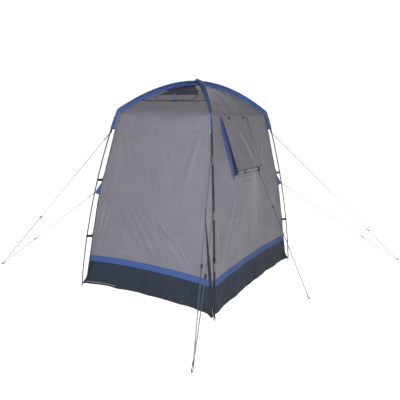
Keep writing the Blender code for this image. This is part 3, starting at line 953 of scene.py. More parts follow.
# Folds of each wall: (along, height) of both ends, half width and depth, in metres
FOLDS = {
    "front": [
        (-0.32, 1.00, 0.09, 0.42, 0.020, 0.0110),
        (-0.18, 1.02, 0.40, 0.43, 0.018, 0.0115),
        (-0.06, 0.94, 0.26, 0.56, 0.014, 0.0050),
        (-0.40, 0.88, -0.05, 0.48, 0.018, 0.0090),
        (-0.42, 0.76, -0.22, 0.44, 0.014, 0.0065),
        (-0.37, 0.62, -0.18, 0.43, 0.012, 0.0050),
        (0.02, 0.92, 0.24, 0.66, 0.013, 0.0050),
        (0.11, 0.92, 0.27, 0.69, 0.010, 0.0045),
        (0.20, 0.92, 0.34, 0.72, 0.010, 0.0045),
        (0.19, 0.97, 0.30, 0.86, 0.009, 0.0030),
        (0.28, 0.68, 0.50, 0.43, 0.014, 0.0060),
        (-0.59, 1.02, -0.70, 0.46, 0.014, 0.0060),
        (-0.52, 0.98, -0.63, 0.58, 0.012, 0.0055),
        (-0.06, 1.41, 0.09, 1.29, 0.009, 0.0038),
        (-0.01, 1.46, 0.16, 1.31, 0.009, 0.0040),
        (0.07, 1.51, 0.21, 1.40, 0.009, 0.0034),
        (-0.30, 1.10, -0.20, 0.97, 0.010, 0.0035),
        (-0.46, 1.70, -0.30, 1.26, 0.030, 0.0040),
        (0.44, 1.70, 0.34, 1.16, 0.028, 0.0040),
    ],
    "rear": [
        (0.62, 1.10, -0.06, 0.50, 0.030, 0.0050),
        (-0.62, 1.08, -0.20, 0.56, 0.026, 0.0045),
        (0.40, 1.20, -0.30, 0.74, 0.034, 0.0040),
        (-0.46, 1.76, -0.22, 1.24, 0.026, 0.0035),
        (0.46, 1.76, 0.30, 1.18, 0.024, 0.0035),
        (0.10, 0.80, 0.40, 0.42, 0.022, 0.0035),
    ],
    "window": [
        (-0.43, 1.08, -0.76, 0.46, 0.010, 0.0250),
        (-0.35, 1.00, -0.64, 0.43, 0.010, 0.0240),
        (-0.34, 1.08, -0.36, 0.88, 0.012, -0.0050),
        (-0.45, 0.88, -0.58, 0.50, 0.012, -0.0070),
        (-0.10, 0.94, -0.14, 0.46, 0.022, -0.0060),
        (0.18, 0.98, 0.24, 0.52, 0.020, 0.0040),
        (0.33, 0.70, 0.54, 0.50, 0.014, 0.0050),
        (0.42, 0.78, 0.70, 0.52, 0.014, 0.0055),
        (0.20, 0.72, 0.36, 0.52, 0.014, 0.0045),
        (-0.80, 1.06, -0.87, 0.50, 0.014, 0.0050),
        (-0.40, 1.27, 0.20, 1.24, 0.014, 0.0045),
        (-0.36, 1.21, 0.10, 1.19, 0.014, 0.0035),
        (0.62, 1.78, 0.36, 1.34, 0.020, 0.0040),
    ],
    "plain": [
        (0.74, 1.10, 0.10, 0.52, 0.032, 0.0050),
        (-0.74, 1.08, -0.20, 0.54, 0.030, 0.0050),
        (0.40, 1.22, -0.30, 0.70, 0.034, 0.0040),
        (-0.58, 1.78, -0.20, 1.20, 0.028, 0.0040),
        (0.58, 1.78, 0.26, 1.22, 0.028, 0.0040),
        (0.00, 0.84, 0.36, 0.42, 0.024, 0.0040),
    ],
}

TURN = 6.28  # one wave of a ripple
rng = random.Random(11)

# Short upright folds all along the skirt, measured as the wall's folds are
SKIRT_FOLDS = {wall: [] for wall in WALLS}
for wall, folds in SKIRT_FOLDS.items():
    reach = HALF_X if WALLS[wall][0] == "x" else HALF_Y
    for number in range(13):
        place = reach * (-0.86 + 1.72 * (number + rng.uniform(0.1, 0.9)) / 13)
        lean = rng.uniform(-0.09, 0.09)
        low, high = rng.uniform(0.02, 0.10), rng.uniform(0.24, 0.33)
        width, depth = rng.uniform(0.007, 0.014), rng.uniform(0.0018, 0.0036)
        folds.append((place, low, place + lean, high, width, depth))

# Faint ripples of each wall: (waves along, radians per metre up, phase, depth)
WAVES = {
    wall: [
        (rng.uniform(1.5, 5.5), rng.uniform(-4.0, 4.0), rng.uniform(0, TURN), rng.uniform(0.0006, 0.0014))
        for _ in range(7)
    ]
    for wall in WALLS
}


def half_width(wall, share):
    """Half a wall's width at a share of the full reach."""
    return (HALF_X if WALLS[wall][0] == "x" else HALF_Y) * share


FOLD_DEPTH = 1.5  # all folds are this many times as deep as their tables say


def fold_relief(along, height, folds):
    """How far folds stand out: each is a ridge with a shallow hollow on both sides."""
    out = np.zeros(np.broadcast(along, height).shape)
    for a0, z0, a1, z1, half, depth in folds:
        da, dz = a1 - a0, z1 - z0
        long = math.hypot(da, dz)
        share = ((along - a0) * da + (height - z0) * dz) / long**2
        away = ((along - a0) * dz - (height - z0) * da) / long
        fade = np.sin(math.pi * np.clip(share, 0, 1)) ** 0.8
        spread = half * (0.6 + 0.8 * np.clip(share, 0, 1))
        ridge = np.exp(-((away / spread) ** 2))
        hollows = 0.45 * np.exp(-(((np.abs(away) - 1.9 * spread) / spread) ** 2))
        out = out + FOLD_DEPTH * depth * fade * (ridge - hollows)
    return out


def wall_relief(wall, along, height, half):
    """How far the cloth stands out from the flat wall."""
    inside = smooth((half - np.abs(along)) / 0.16)
    level = smooth((WALL_TOP - height) / 0.20) * smooth(height / 0.25)
    out = -0.007 * inside * level * (1 - (along / half) ** 2)  # the walls are drawn in a little
    out = out + fold_relief(along, height, FOLDS[wall]) * inside * smooth((height - 0.24) / 0.14)
    out = out + fold_relief(along, height, SKIRT_FOLDS[wall]) * inside
    for fa, fz, phase, depth in WAVES[wall]:
        out = out + depth * np.sin(fa * along * TURN / 1.6 + fz * height + phase) * inside * level
    # Stitches gather the cloth along both edges of the band
    gathers = np.sin(along * TURN / 0.046 + 2.2 * np.sin(along * 7.0)) * (0.6 + 0.4 * np.sin(along * 19.0))
    out = out + 0.0011 * gathers * np.exp(-np.abs(height - BAND_TOP) / 0.045) * inside
    out = out + 0.0012 * gathers * np.exp(-np.abs(height - SKIRT_TOP) / 0.050) * inside
    # The skirt hangs loose
    slack = smooth((0.28 - height) / 0.23) * inside
    out = out + 0.0045 * slack * np.sin(along * TURN / 0.52 + 1.1 * math.copysign(1, WALLS[wall][1]))
    out = out + 0.0020 * slack * np.sin(along * TURN / 0.19 + 0.7)
    if wall == "window":  # the flap's guy pulls the wall out below the window
        across = np.where(along > BULGE_Y, BULGE_ON, BULGE_BACK)
        upright = np.where(height > BULGE_Z, BULGE_UP, BULGE_DOWN)
        out = out + BULGE * bump(along - BULGE_Y, across) * bump(height - BULGE_Z, upright)
        out = out + ZIP_FOOT_OUT * bump(along - FLAP_Y[0], 0.24) * bump(height - FLAP_HEM_Z, 0.36)
    return out


def eave_bend(t):
    """The bend from the wall (t is 0) to the roof (t is 1), as (share of REACH, height)."""
    first_share, last_z = fabric_reach(FILLET_FROM) / REACH, roof_height(FILLET_TO)
    share = (1 - t) ** 2 * first_share + 2 * t * (1 - t) * EAVE + t**2 * FILLET_TO
    height = (1 - t) ** 2 * FILLET_FROM + 2 * t * (1 - t) * EAVE_Z + t**2 * last_z
    return share, height


def stacked(wall, along, outward, level):
    """Points from their places along a wall, distances out from the centre and heights."""
    axis, sign, _ = WALLS[wall]
    outward = sign * outward
    return np.stack([along, outward, level] if axis == "x" else [outward, along, level], axis=-1)


def corner_pull(points):
    """Clips, tabs and straps pull the corner seams out towards the poles."""
    x, y, z = points[..., 0], points[..., 1], points[..., 2]
    share = fabric_reach(z) / REACH
    from_seam = np.abs(HALF_X * share - np.abs(x)) + np.abs(HALF_Y * share - np.abs(y))
    low = np.exp(-(((z - SKIRT_BOTTOM) / 0.045) ** 2))
    pull = CORNER_TUG * low
    for height in CLIP_HEIGHTS:
        pull = pull + 0.007 * np.exp(-(((z - height) / 0.045) ** 2))
    pull = pull + 0.008 * np.exp(-(((z - TAB_Z) / 0.060) ** 2))
    pull = pull * np.exp(-from_seam / 0.06)
    points[..., 0] += np.sign(x) * pull * HALF_X / REACH
    points[..., 1] += np.sign(y) * pull * HALF_Y / REACH
    return points


def wall_points(wall, along, height, lift=0.0):
    """Points of a wall's cloth, at places along it and heights, lifted off it by lift."""
    axis, sign, softness = WALLS[wall]
    along, height = np.broadcast_arrays(np.asarray(along, float), np.asarray(height, float))
    share = fabric_reach(height) / REACH
    level = height.copy()
    half = half_width(wall, share)
    amount = np.clip((height - FILLET_FROM) / (EAVE_Z - FILLET_FROM), 0, 1) / 2
    bent_share, bent_level = eave_bend(amount)
    soft = softness * smooth((half - np.abs(along)) / 0.22) * (height > FILLET_FROM)
    share = share + (bent_share - share) * soft
    level = level + (bent_level - level) * soft
    rise = HEM_RISE * (1 - (along / half) ** 2) * smooth(1 - (height - SKIRT_BOTTOM) / 1.05)
    hem = smooth((0.15 - height) / 0.10) * smooth((half - np.abs(along)) / 0.20)
    level = level + rise + hem * 0.003 * np.sin(along * TURN / 0.37 + 2 * sign)
    foot = smooth((0.20 - height) / 0.16)
    if wall == "front":
        from_corner = along - DOOR_RIGHT + 0.028
        level = level - DOOR_DIP * np.exp(-((from_corner / 0.020) ** 2)) * foot
        level = level + CORNER_LIFT * smooth((along - door_right(height) - 0.001) / 0.005) * foot
    if wall == "window":
        level = level + CORNER_LIFT * np.exp(-(((along + half) / 0.035) ** 2)) * foot
    outward = (HALF_Y if axis == "x" else HALF_X) * share + wall_relief(wall, along, height, half) + lift
    return corner_pull(stacked(wall, along, outward, level))


def roof_points(wall, across, share, lift=0.0):
    """Points of a roof gore: across runs from -1 to 1 between its two poles, share from the apex."""
    axis, sign, softness = WALLS[wall]
    across, share = np.broadcast_arrays(np.asarray(across, float), np.asarray(share, float))
    half = (HALF_X if axis == "x" else HALF_Y) * share
    along = half * across
    level = roof_height(share)
    amount = 1 - np.clip((share - FILLET_TO) / (EAVE - FILLET_TO), 0, 1) / 2
    bent_share, bent_level = eave_bend(amount)
    soft = softness * smooth((half - np.abs(along)) / 0.22) * (share > FILLET_TO)
    bent = share + (bent_share - share) * soft
    level = level + (bent_level - level) * soft
    inside = smooth((1 - np.abs(across)) / 0.35) * smooth(share / 0.2) * smooth((EAVE - share) / 0.12)
    sag = -0.008 * inside
    rays = 0.0016 * np.sin(across * 9.0 + 2.0 * math.copysign(1, sign)) * inside
    rays = rays + 0.0009 * np.sin(across * 17.0 + share * 9.0) * inside
    level = level + sag + rays + lift
    return stacked(wall, along, (HALF_Y if axis == "x" else HALF_X) * bent, level)


def stops(low, high, step, *fixed):
    """Places from low to high, at most a step apart, with the fixed ones among them."""
    marks = [low, *[f for f in sorted(fixed) if low < f < high], high]
    line = [low]
    for a, b in zip(marks, marks[1:]):
        line += list(np.linspace(a, b, max(2, math.ceil((b - a) / step) + 1)))[1:]
    return np.array(line)


STEP = 0.013  # between the points of the large panels


def strip_grid(wall, heights, edges, lift=0.0, step=STEP):
    """A grid on a wall; edges gives its two ends along the wall at a height."""
    low, high = zip(*[edges(z) for z in heights])
    low, high = np.array(low), np.array(high)
    count = max(2, math.ceil(float((high - low).max()) / step) + 1)
    along = low[:, None] + (high - low)[:, None] * np.linspace(0, 1, count)[None]
    return wall_points(wall, along, np.array(heights)[:, None], lift)


def full_width(wall):
    """Gives a wall's two ends at a height."""

    def edges(height):
        half = half_width(wall, float(fabric_reach(height)) / REACH)
        return -half, half

    return edges


def door_width(height):
    """The door's two edges at a height."""
    return door_left(height), door_right(height)


def left_of_door(height):
    """The two edges of the fixed strip on the door's left."""
    return full_width("front")(height)[0], door_left(height) - DOOR_SLIT


def right_of_door(height):
    """The two edges of the fixed strip on the door's right."""
    return door_right(height) + DOOR_SLIT, full_width("front")(height)[1]


def round_cabin(heights, lift, step=STEP):
    """A strip of cloth all round the cabin, broken by the door."""
    shape = Shape()
    for wall in ("rear", "window", "plain"):
        shape.sheet(strip_grid(wall, heights, full_width(wall), lift, step), flip=turned(wall))
    shape.sheet(strip_grid("front", heights, left_of_door, lift, 0.01))
    shape.sheet(strip_grid("front", heights, right_of_door, lift, 0.003))
    return shape


def turned(wall):
    """Whether a grid on this wall needs its faces turned to face out."""
    axis, sign, _ = WALLS[wall]
    return (axis == "x") == (sign > 0)


def door_left(height):
    return DOOR_LEFT + DOOR_TAPER * height


def door_right(height):
    return DOOR_RIGHT - DOOR_TAPER * height


def cloth_piece(name, shape, finish, body="cabin", nodes=(), slot=None, thickness=CLOTH, long=None):
    """Settles a sheet of cloth with the cloth's thickness, and measures its largest extent."""
    piece = put(shape, name, finish, body, *nodes, slot=slot, thickness=thickness, offset=-1.0)
    mesh = piece.data
    low = Vector(map(min, *[v.co for v in mesh.vertices]))
    high = Vector(map(max, *[v.co for v in mesh.vertices]))
    long = long or max(*(high - low), 0.02)


def walls():
    """The four walls above the band, with the window's opening and the door cut out."""
    wall_heights = stops(BAND_TOP - 0.004, EAVE_Z, STEP, FILLET_FROM)
    for wall in ("rear", "plain"):
        shape = Shape().sheet(strip_grid(wall, wall_heights, full_width(wall)), flip=turned(wall))
        cloth_piece(f"{wall}_wall_cloth", shape, WALL_CLOTH, nodes=(f"{wall}_wall",))

    heights = stops(BAND_TOP - 0.004, EAVE_Z, 0.012, *WINDOW_Z, FILLET_FROM)
    rows = []
    for z in heights:
        half = half_width("window", float(fabric_reach(z)) / REACH)
        rows.append(np.concatenate([
            np.linspace(-half, WINDOW_Y[0], 84),
            np.linspace(*WINDOW_Y, 46)[1:],
            np.linspace(WINDOW_Y[1], half, 58)[1:],
        ]))
    along = np.array(rows)
    grid = wall_points("window", along, heights[:, None])
    middle = (along[:-1, :-1] + along[:-1, 1:]) / 2
    levels = ((heights[:-1] + heights[1:]) / 2)[:, None]
    hole = (middle > WINDOW_Y[0]) & (middle < WINDOW_Y[1]) & (levels > WINDOW_Z[0]) & (levels < WINDOW_Z[1])
    shape = Shape().sheet(grid, keep=~hole)
    cloth_piece("window_wall_cloth", shape, WINDOW_WALL_SHADED_CLOTH, nodes=("window_wall",))

    upper = stops(BAND_TOP - 0.004, DOOR_TOP + DOOR_SLIT, STEP, FILLET_FROM)
    above = stops(DOOR_TOP + DOOR_SLIT, EAVE_Z, 0.012)
    shape = Shape().sheet(strip_grid("front", upper, left_of_door))
    shape.sheet(strip_grid("front", upper, right_of_door))
    shape.sheet(strip_grid("front", above, full_width("front")))
    cloth_piece("front_surround_cloth", shape, WALL_CLOTH, nodes=("front_surround",))

    heights = stops(BAND_TOP - 0.004, DOOR_TOP, 0.010, FILLET_FROM)
    shape = Shape().sheet(strip_grid("front", heights, door_width, step=0.010))
    cloth_piece("door_cloth", shape, WALL_CLOTH, "door", ("door_panel",))


def lower_bands():
    """The mud skirt and the blue band above it."""
    girth = 7.4  # of the cabin without its door
    levels = (
        ("skirt", NAVY_CLOTH, stops(SKIRT_BOTTOM, SKIRT_TOP + 0.004, 0.012), 0.0002,
         ("skirt", "front_surround"), ("door_panel",)),
        ("band", BLUE_CLOTH, stops(SKIRT_TOP, BAND_TOP, 0.009), 0.0016, (), ()),
    )
    for name, finish, heights, lift, nodes, door_nodes in levels:
        shape = round_cabin(heights, lift)
        cloth_piece(f"{name}_cloth", shape, finish, nodes=nodes, long=girth)
        shape = Shape().sheet(strip_grid("front", heights, door_width, lift, 0.010))
        cloth_piece(f"door_{name}", shape, finish, "door", door_nodes)


def hem_tape():
    """The black tape round the skirt's hem, and a pale strip along the door's hem above it."""
    heights = SKIRT_BOTTOM + np.array([0.0, 0.004, 0.015, 0.019])
    put(round_cabin(heights, 0.0018, 0.02), "skirt_hem_tape", BLACK_TAPE, thickness=0.0022)
    door = Shape().sheet(strip_grid("front", heights, door_width, 0.0018, 0.02))
    put(door, "door_hem_tape", BLACK_TAPE, "door", thickness=0.0022)

    def edges(height):
        return door_left(height), PALE_STRIP_END

    turn_up = SKIRT_BOTTOM + np.array([0.0205, 0.0235, 0.0265])
    facing = Shape().sheet(strip_grid("front", turn_up, edges, 0.0030, 0.02))
    put(facing, "door_hem_pale_strip", HEM_CLOTH, "door", thickness=0.0012)


def vent_edge(share):
    """Half the vent's width, as a share of its gore's half width at the same level."""
    share = float(np.clip(share, VENT_TOP, VENT_BOTTOM))
    amount = (share - VENT_TOP) / (VENT_BOTTOM - VENT_TOP)
    return (VENT_HALF_TOP + (VENT_HALF_BOTTOM - VENT_HALF_TOP) * amount) / (HALF_X * share)


def roof():
    """The roof cloth in four gores, with the vent's opening in the front one. The front gore has the wall's
    cloth; the other three have a darker copy whose colour paints the roof's shade.
    """
    shares = stops(0.012, EAVE, 0.011, VENT_TOP, VENT_BOTTOM, SEAM_SHARE, FILLET_TO)
    canopy = Shape()
    for wall in ("rear", "window", "plain"):
        grid = roof_points(wall, np.linspace(-1, 1, 41)[None], shares[:, None])
        canopy.sheet(grid, flip=not turned(wall))
    rows = []
    for share in shares:
        edge = vent_edge(share)
        beside, within, beyond = (-1, -edge, 7), (-edge, edge, 31), (edge, 1, 7)
        rows.append([*np.linspace(*beside), *np.linspace(*within)[1:], *np.linspace(*beyond)[1:]])
    across = np.array(rows)
    column = np.arange(across.shape[1] - 1)[None]
    middle = ((shares[:-1] + shares[1:]) / 2)[:, None]
    hole = (column >= 6) & (column < 36) & (middle > VENT_TOP) & (middle < VENT_BOTTOM)
    grid = roof_points("front", across, shares[:, None])
    front = Shape().sheet(grid, keep=~hole, flip=not turned("front"))
    cloth_piece("roof_front_cloth", front, WALL_CLOTH, nodes=("roof_canopy",))
    cloth_piece("roof_canopy_cloth", canopy, ROOF_SHADED_CLOTH, nodes=("roof_canopy",), long=1.45)


def vent():
    """The vent's net and lining, whose near-black colour paints the shade of the vent's opening, and the
    flap below it with its binding, strap and a seam whose dark tape also paints the flap's shadow.
    """
    shares = np.linspace(VENT_BOTTOM, VENT_TOP, 9)
    across = np.array([np.linspace(-vent_edge(share), vent_edge(share), 31) for share in shares])
    net = Shape().sheet(roof_points("front", across, shares[:, None], -0.0012))
    cloth_piece("vent_net", net, NET, nodes=("vent_mesh",), thickness=0.0004)

    # A near-black patch on the roof above the vent: its colour paints the shade of the vent's opening.
    shares = stops(0.02, VENT_TOP + 0.006, 0.011)
    left = -0.985
    right = np.interp(shares, (0.02, 0.18, VENT_TOP), (0.45, 0.60, 0.80))
    across = left + (right - left)[:, None] * np.linspace(0, 1, 31)[None]
    lining = Shape().sheet(roof_points("front", across, shares[:, None], 0.0020), flip=True)
    cloth_piece("vent_lining_painted_shade", lining, VENT_SHADE_CLOTH)

    shares = np.linspace(VENT_HINGE, VENT_FLAP_END, 14)
    rows = []
    for share in shares:
        amount = (share - VENT_HINGE) / (VENT_FLAP_END - VENT_HINGE)
        edge = VENT_FLAP_HALF[0] + (VENT_FLAP_HALF[1] - VENT_FLAP_HALF[0]) * amount
        rows.append(np.linspace(-edge, edge, 41) / (HALF_X * share))
    across = np.array(rows)
    amount = np.linspace(0, 1, 14)[:, None]
    wave = 0.0022 * np.sin(across * 8.0 + 0.4) * amount + 0.0012 * np.sin(across * 19 + 1.0) * amount
    grid = roof_points("front", across, shares[:, None], VENT_FLAP_LIFT + 0.001 + wave)
    cloth_piece("vent_flap_cloth", Shape().sheet(grid, flip=True), WALL_CLOTH, "vent_flap", ("vent_flap",),
                slot="roof_fabric")
    border = np.concatenate([grid[0, ::-1], grid[1:, 0], grid[-1, 1:], grid[-2:0:-1, -1]])
    outward = np.array((0.0, -0.55, 0.83))
    side = np.cross(np.gradient(border, axis=0), outward)
    binding = Shape().sweep(border, flat(0.007, 0.0020), side=side, closed=True)
    put(binding, "vent_flap_binding", GREY_TAPE, "vent_flap")

    # A seam tape just below the vent flap's end. Its dark colour also paints the shadow of the flap's lower
    # edge.
    line = roof_points("front", np.linspace(-0.985, 0.985, 61), SEAM_SHARE, 0.0012)
    put(Shape().sweep(line, flat(0.026, 0.0022), side=(0, -0.83, -0.55)), "roof_seam_and_shadow", GREY_TAPE)

    places = np.linspace(0, 1, 16)
    strap_x = -0.050 + 0.080 * places
    strap_share = 0.386 + 0.114 * places
    lift = VENT_FLAP_LIFT + 0.0045 + 0.003 * np.sin(places * math.pi)
    line = roof_points("front", strap_x / (HALF_X * strap_share), strap_share, lift)
    strap = Shape().sweep(line, flat(0.036, 0.0016), side=(1, 0, 0))
    put(strap, "vent_flap_strap", BLUE_TAPE, "vent_flap")
    tip = Shape().sweep(line[-3:] + np.array((0.0, 0.0, 0.0012)), flat(0.038, 0.0034), side=(1, 0, 0))
    put(tip, "vent_flap_strap_tip", BLACK_TAPE, "vent_flap")


def piping():
    """A narrow seam down each corner."""
    for corner, (sign_x, sign_y, *_) in CORNERS.items():
        heights = stops(SKIRT_BOTTOM + 0.004, WALL_TOP - 0.01, 0.02)
        share = fabric_reach(heights) / REACH
        line = np.stack([sign_x * HALF_X * share, sign_y * HALF_Y * share, heights], axis=-1)
        line = corner_pull(line)
        out = np.array((sign_x * HALF_X, sign_y * HALF_Y, 0.0)) / REACH
        parts = (
            (0, SKIRT_TOP, NAVY_TAPE, "navy_fabric"),
            (SKIRT_TOP, BAND_TOP, NAVY_TAPE, "navy_fabric"),
            (BAND_TOP, WALL_TOP, GREY_TAPE, "grey_fabric"),
        )
        for number, (low, high, finish, slot) in enumerate(parts, 1):
            part = line[(heights >= low - 0.011) & (heights <= high + 0.011)]
            seam = Shape().sweep(part, flat(0.0032, 0.012), side=out)
            put(seam, f"{corner}_seam_{number}", finish, slot=slot)


walls()
lower_bands()
hem_tape()
roof()
vent()
piping()


# Sleeves ---------------------------------------------------------------------------------------

SLEEVE_SLACK = 2.4  # how much wider than the pole's own tube the cloth lies near the top
SLEEVE_TUBE = (  # half the outline round the pole: (out from the pole's centre, to the side)
    (-0.019, 0.0010),
    (-0.014, 0.0022),
    (-0.0085, 0.0050),
    (-0.002, 0.0070),
    (0.0035, 0.0064),
    (0.0066, 0.0034),
)
SLEEVE_ROOF = (0.866, 0.008)  # from the elbow to the apex, as reaches
SLEEVE_BEND = (  # over the elbow: (reach, height) of the outer edge and of the seam
    (0.9167, 1.9000, 0.8865, 1.8870),
    (0.9120, 1.9145, 0.8850, 1.8885),
    (0.9035, 1.9263, 0.8820, 1.8900),
    (0.8850, 1.9410, 0.8740, 1.8930),
)


def sleeve_edges(side):
    """The outer edge and the seam of half a sleeve, from its lower end to the apex, as (reach, height)."""
    outer, inner = [], []
    for z in np.linspace(SLEEVE_END_Z, WALL_TOP, 12):
        outer.append((leg_reach(z), z))
        inner.append((float(fabric_reach(z)) - 0.002, z))
    for outer_reach, outer_z, inner_reach, inner_z in SLEEVE_BEND:
        outer.append((outer_reach, outer_z))
        inner.append((inner_reach, inner_z))
    for reach in np.linspace(*SLEEVE_ROOF, 50):
        outer.append((reach, arch_height(reach, side)))
        inner.append((reach, roof_height(reach / REACH) - 0.001))
    return outer, inner


def sleeve_ring(out_at, in_at, away, gather, loose):
    """The outline of a sleeve at one place: a flat fin that opens into a tube round the pole."""
    wide = np.linalg.norm(out_at - in_at)
    radial = (out_at - in_at) / wide
    fin = [(-wide, 0.0007), (-wide * 0.75, 0.0008), (-wide * 0.55, 0.0008)]
    left = fin + [(a, b * loose) for a, b in SLEEVE_TUBE]
    profile = left + [(0.0076, 0.0)] + [(a, -b) for a, b in reversed(left)]
    ring = []
    for a, b in profile:
        soft = math.sin(math.pi * min(1.0, max(0.0, -a / wide))) * gather
        ring.append(out_at + radial * a + away * (b + soft))
    return ring


def sleeve(node, corner, side):
    """A fin of blue cloth from the cabin's seam out to the pole, closed round the pole."""
    sign_x, sign_y = CORNERS[corner][:2]
    away = np.array((-sign_y * HALF_Y, sign_x * HALF_X, 0.0)) / REACH
    shape = Shape()
    for sign in (1, -1):
        rings = []
        for k, ((out_reach, out_z), (in_reach, in_z)) in enumerate(zip(*sleeve_edges(side))):
            out_at = np.array(at_corner(corner, sign * out_reach, out_z))
            in_at = np.array(at_corner(corner, sign * in_reach, in_z))
            gather = 0.0016 * math.sin(k * 0.9) * math.sin(k * 0.37)
            loose = 0.35 + 0.65 * float(smooth((0.86 - out_reach) / 0.60))
            loose = 1 + SLEEVE_SLACK * loose * float(smooth((0.905 - out_reach) / 0.03))
            rings.append(sleeve_ring(out_at, in_at, away, gather, loose))
        rings = np.array(rings)[::sign]
        around = rings.shape[1]
        along = np.linalg.norm(np.diff(rings[:, 0], axis=0), axis=1)
        u = np.concatenate([[0.0], np.cumsum(along)])
        edges = np.linalg.norm(np.diff(rings[0], axis=0), axis=1)
        v = np.concatenate([[0.0], np.cumsum(edges), [np.sum(edges) + 0.0015]])
        first = len(shape.points)
        shape.add(rings.reshape(-1, 3), grid_faces(len(rings), around, wrap=True), tube_places(u, v))
        for row in (0, len(rings) - 1):
            face = tuple(first + row * around + i for i in range(around))
            shape.faces.append(face if row else face[::-1])
            shape.places += [(0.0, 0.0)] * around
    piece = shape.made(f"{node}_cloth", BLUE_CLOTH)
    fix = bmesh.new()
    fix.from_mesh(piece.data)
    bmesh.ops.recalc_face_normals(fix, faces=fix.faces)
    fix.to_mesh(piece.data)
    fix.free()
    settle(piece, "cabin", "blue_fabric", node)
    hems = Shape()
    for sign in (1, -1):
        z = SLEEVE_END_Z + 0.006
        line = []
        for share in np.linspace(0, 1, 10):
            reach = fabric_reach(z) + 0.002 + (leg_reach(z) + 0.004 - fabric_reach(z)) * share
            line.append(at_corner(corner, sign * float(reach), z))
        hems.sweep(line, flat(0.0035, 0.013), side=away)
    put(hems, f"{node}_hems", NAVY_TAPE)
    sleeve_facings(node, corner, away)


def sleeve_facings(node, corner, away):
    """The slate facing each side of a sleeve's lower end, and the dark binding down its outer edge."""
    facings, bindings = Shape(), Shape()
    heights = np.linspace(SLEEVE_END_Z + 0.002, 1.905, 16)
    for sign in (1, -1):
        rows = []
        for z in heights:
            seam = np.array(at_corner(corner, sign * (float(fabric_reach(z)) + 0.0015), z))
            pole = np.array(at_corner(corner, sign * (leg_reach(z) - 0.006), z))
            out = (pole - seam) / np.linalg.norm(pole - seam)
            wide = 0.026 * math.sin(math.pi * (0.2 + 0.6 * (z - heights[0]) / (heights[-1] - heights[0])))
            crown = out * 0.45 * wide
            rows.append([seam + away * wide * t + crown * (1 - t * t) for t in np.linspace(-1, 1, 9)])
        facings.sheet(rows, flip=sign > 0)
        edge = [at_corner(corner, sign * (leg_reach(z) + 0.0084), z) for z in heights[:-4]]
        bindings.sweep(edge, flat(0.0140, 0.0016), side=away)
    put(facings, f"{node}_facings", SLATE_CLOTH, thickness=0.0008)
    put(bindings, f"{node}_edge_binding", NAVY_TAPE)


def cap():
    """The little blue hood over the crossing, with its dark pull loop."""
    radii = (0.042, 0.036, 0.032, 0.027, 0.020, 0.011, 0.002)
    levels = (2.240, 2.254, 2.262, 2.268, 2.273, 2.276, 2.277)
    heading = math.atan2(HALF_Y, HALF_X)
    rows = []
    for radius, z in zip(radii, levels):
        ring = []
        for turn in np.linspace(0, 2 * math.pi, 33):
            lobe = math.cos(2 * (turn - heading)) * math.cos(2 * (turn + heading))
            out = radius * (1 + 0.12 * lobe)
            ring.append((out * math.cos(turn), out * math.sin(turn), z))
        rows.append(ring)
    put(Shape().sheet(rows), "apex_cap", BLUE_CLOTH, thickness=0.0012, offset=-1.0)
    turns = np.linspace(0, math.pi, 14)
    loop = [(0.010 * math.cos(t), 0.0, 2.2755 + 0.0045 * math.sin(t)) for t in turns]
    band = Shape().sweep(loop, flat(0.014, 0.0020), side=(0, 1, 0))
    put(band, "apex_loop", BLACK_TAPE)


sleeve("sleeve_over", "front_right", 1)
sleeve("sleeve_under", "rear_right", -1)
cap()


# Clips, tabs and straps on the poles -------------------------------------------------------------

CLIP_RADIUS, CLIP_OPENING = 0.0076, 0.7  # metres, and half the opening's angle in radians
GUY_RING = (0.0075, 0.0016)  # radius and wire of the rings the guys tie to
LOWER_RING_Z, UPPER_RING_Z = 1.047, 1.672
TAB_TIP_Z, TAB_TOP_Z, TAB_LOW_Z = 1.052, 1.165, 1.025

def corner_axes(corner):
    """The level directions out through a corner and beside it."""
    out = at_corner(corner, 1.0, 0.0).normalized()
    return out, Vector((-out.y, out.x, 0))


def ring_shape(shape, centre, normal, radius, wire, count=28):
    """A closed wire ring round a centre."""
    normal = Vector(normal).normalized()
    first = normal.orthogonal().normalized()
    second = normal.cross(first)
    line = []
    for i in range(count):
        t = i / count * 2 * math.pi
        line.append(Vector(centre) + first * radius * math.cos(t) + second * radius * math.sin(t))
    shape.sweep(line, circle(wire, 8), closed=True)
    return shape


def hook(shape, corner, height):
    """A C-shaped clip round the pole, open outwards, with its stem towards the cabin."""
    centre = pole_at(corner, height)
    out, side = corner_axes(corner)
    arc = []
    for i in range(22):
        t = CLIP_OPENING + (2 * math.pi - 2 * CLIP_OPENING) * i / 21
        arc.append(centre + out * CLIP_RADIUS * math.cos(t) + side * CLIP_RADIUS * math.sin(t))
    shape.sweep(arc, flat(0.0038, 0.020), side=[(p - centre).normalized() for p in arc])
    stem = [centre - out * d for d in (0.0070, 0.011, 0.016, 0.021)]
    shape.sweep(stem, flat(0.0040, 0.020), side=side)
    bar = [centre - out * 0.021 + Vector((0, 0, z)) for z in (-0.011, -0.0055, 0.0, 0.0055, 0.011)]
    shape.sweep(bar, circle(0.0026, 10))
    return centre, out, side


def leg_fittings():
    """Two clips on each leg, and its tab, loop and strap."""
    for corner in CORNERS:
        for number, height in enumerate(CLIP_HEIGHTS, 1):
            clip = Shape()
            centre, out, side = hook(clip, corner, height)
            put(clip, f"{corner}_clip_{number}", PLASTIC)
            seam = seam_at(corner, height, 0.003)
            near = centre - out * 0.0245
            line = [
                seam - out * 0.010,
                seam,
                seam.lerp(near, 0.5) + side * 0.0015,
                near,
                centre - out * 0.0215 + side * 0.003,
                near + side * 0.0042,
                seam.lerp(near, 0.45) + side * 0.0040,
                seam + side * 0.0032,
            ]
            band = Shape().sweep(rounded_line(line, 26), flat(0.0016, 0.024), side=side)
            put(band, f"{corner}_clip_strap_{number}", BLACK_TAPE)
        guy_tab(corner)
        upper_loop(corner)
        foot_strap(corner)


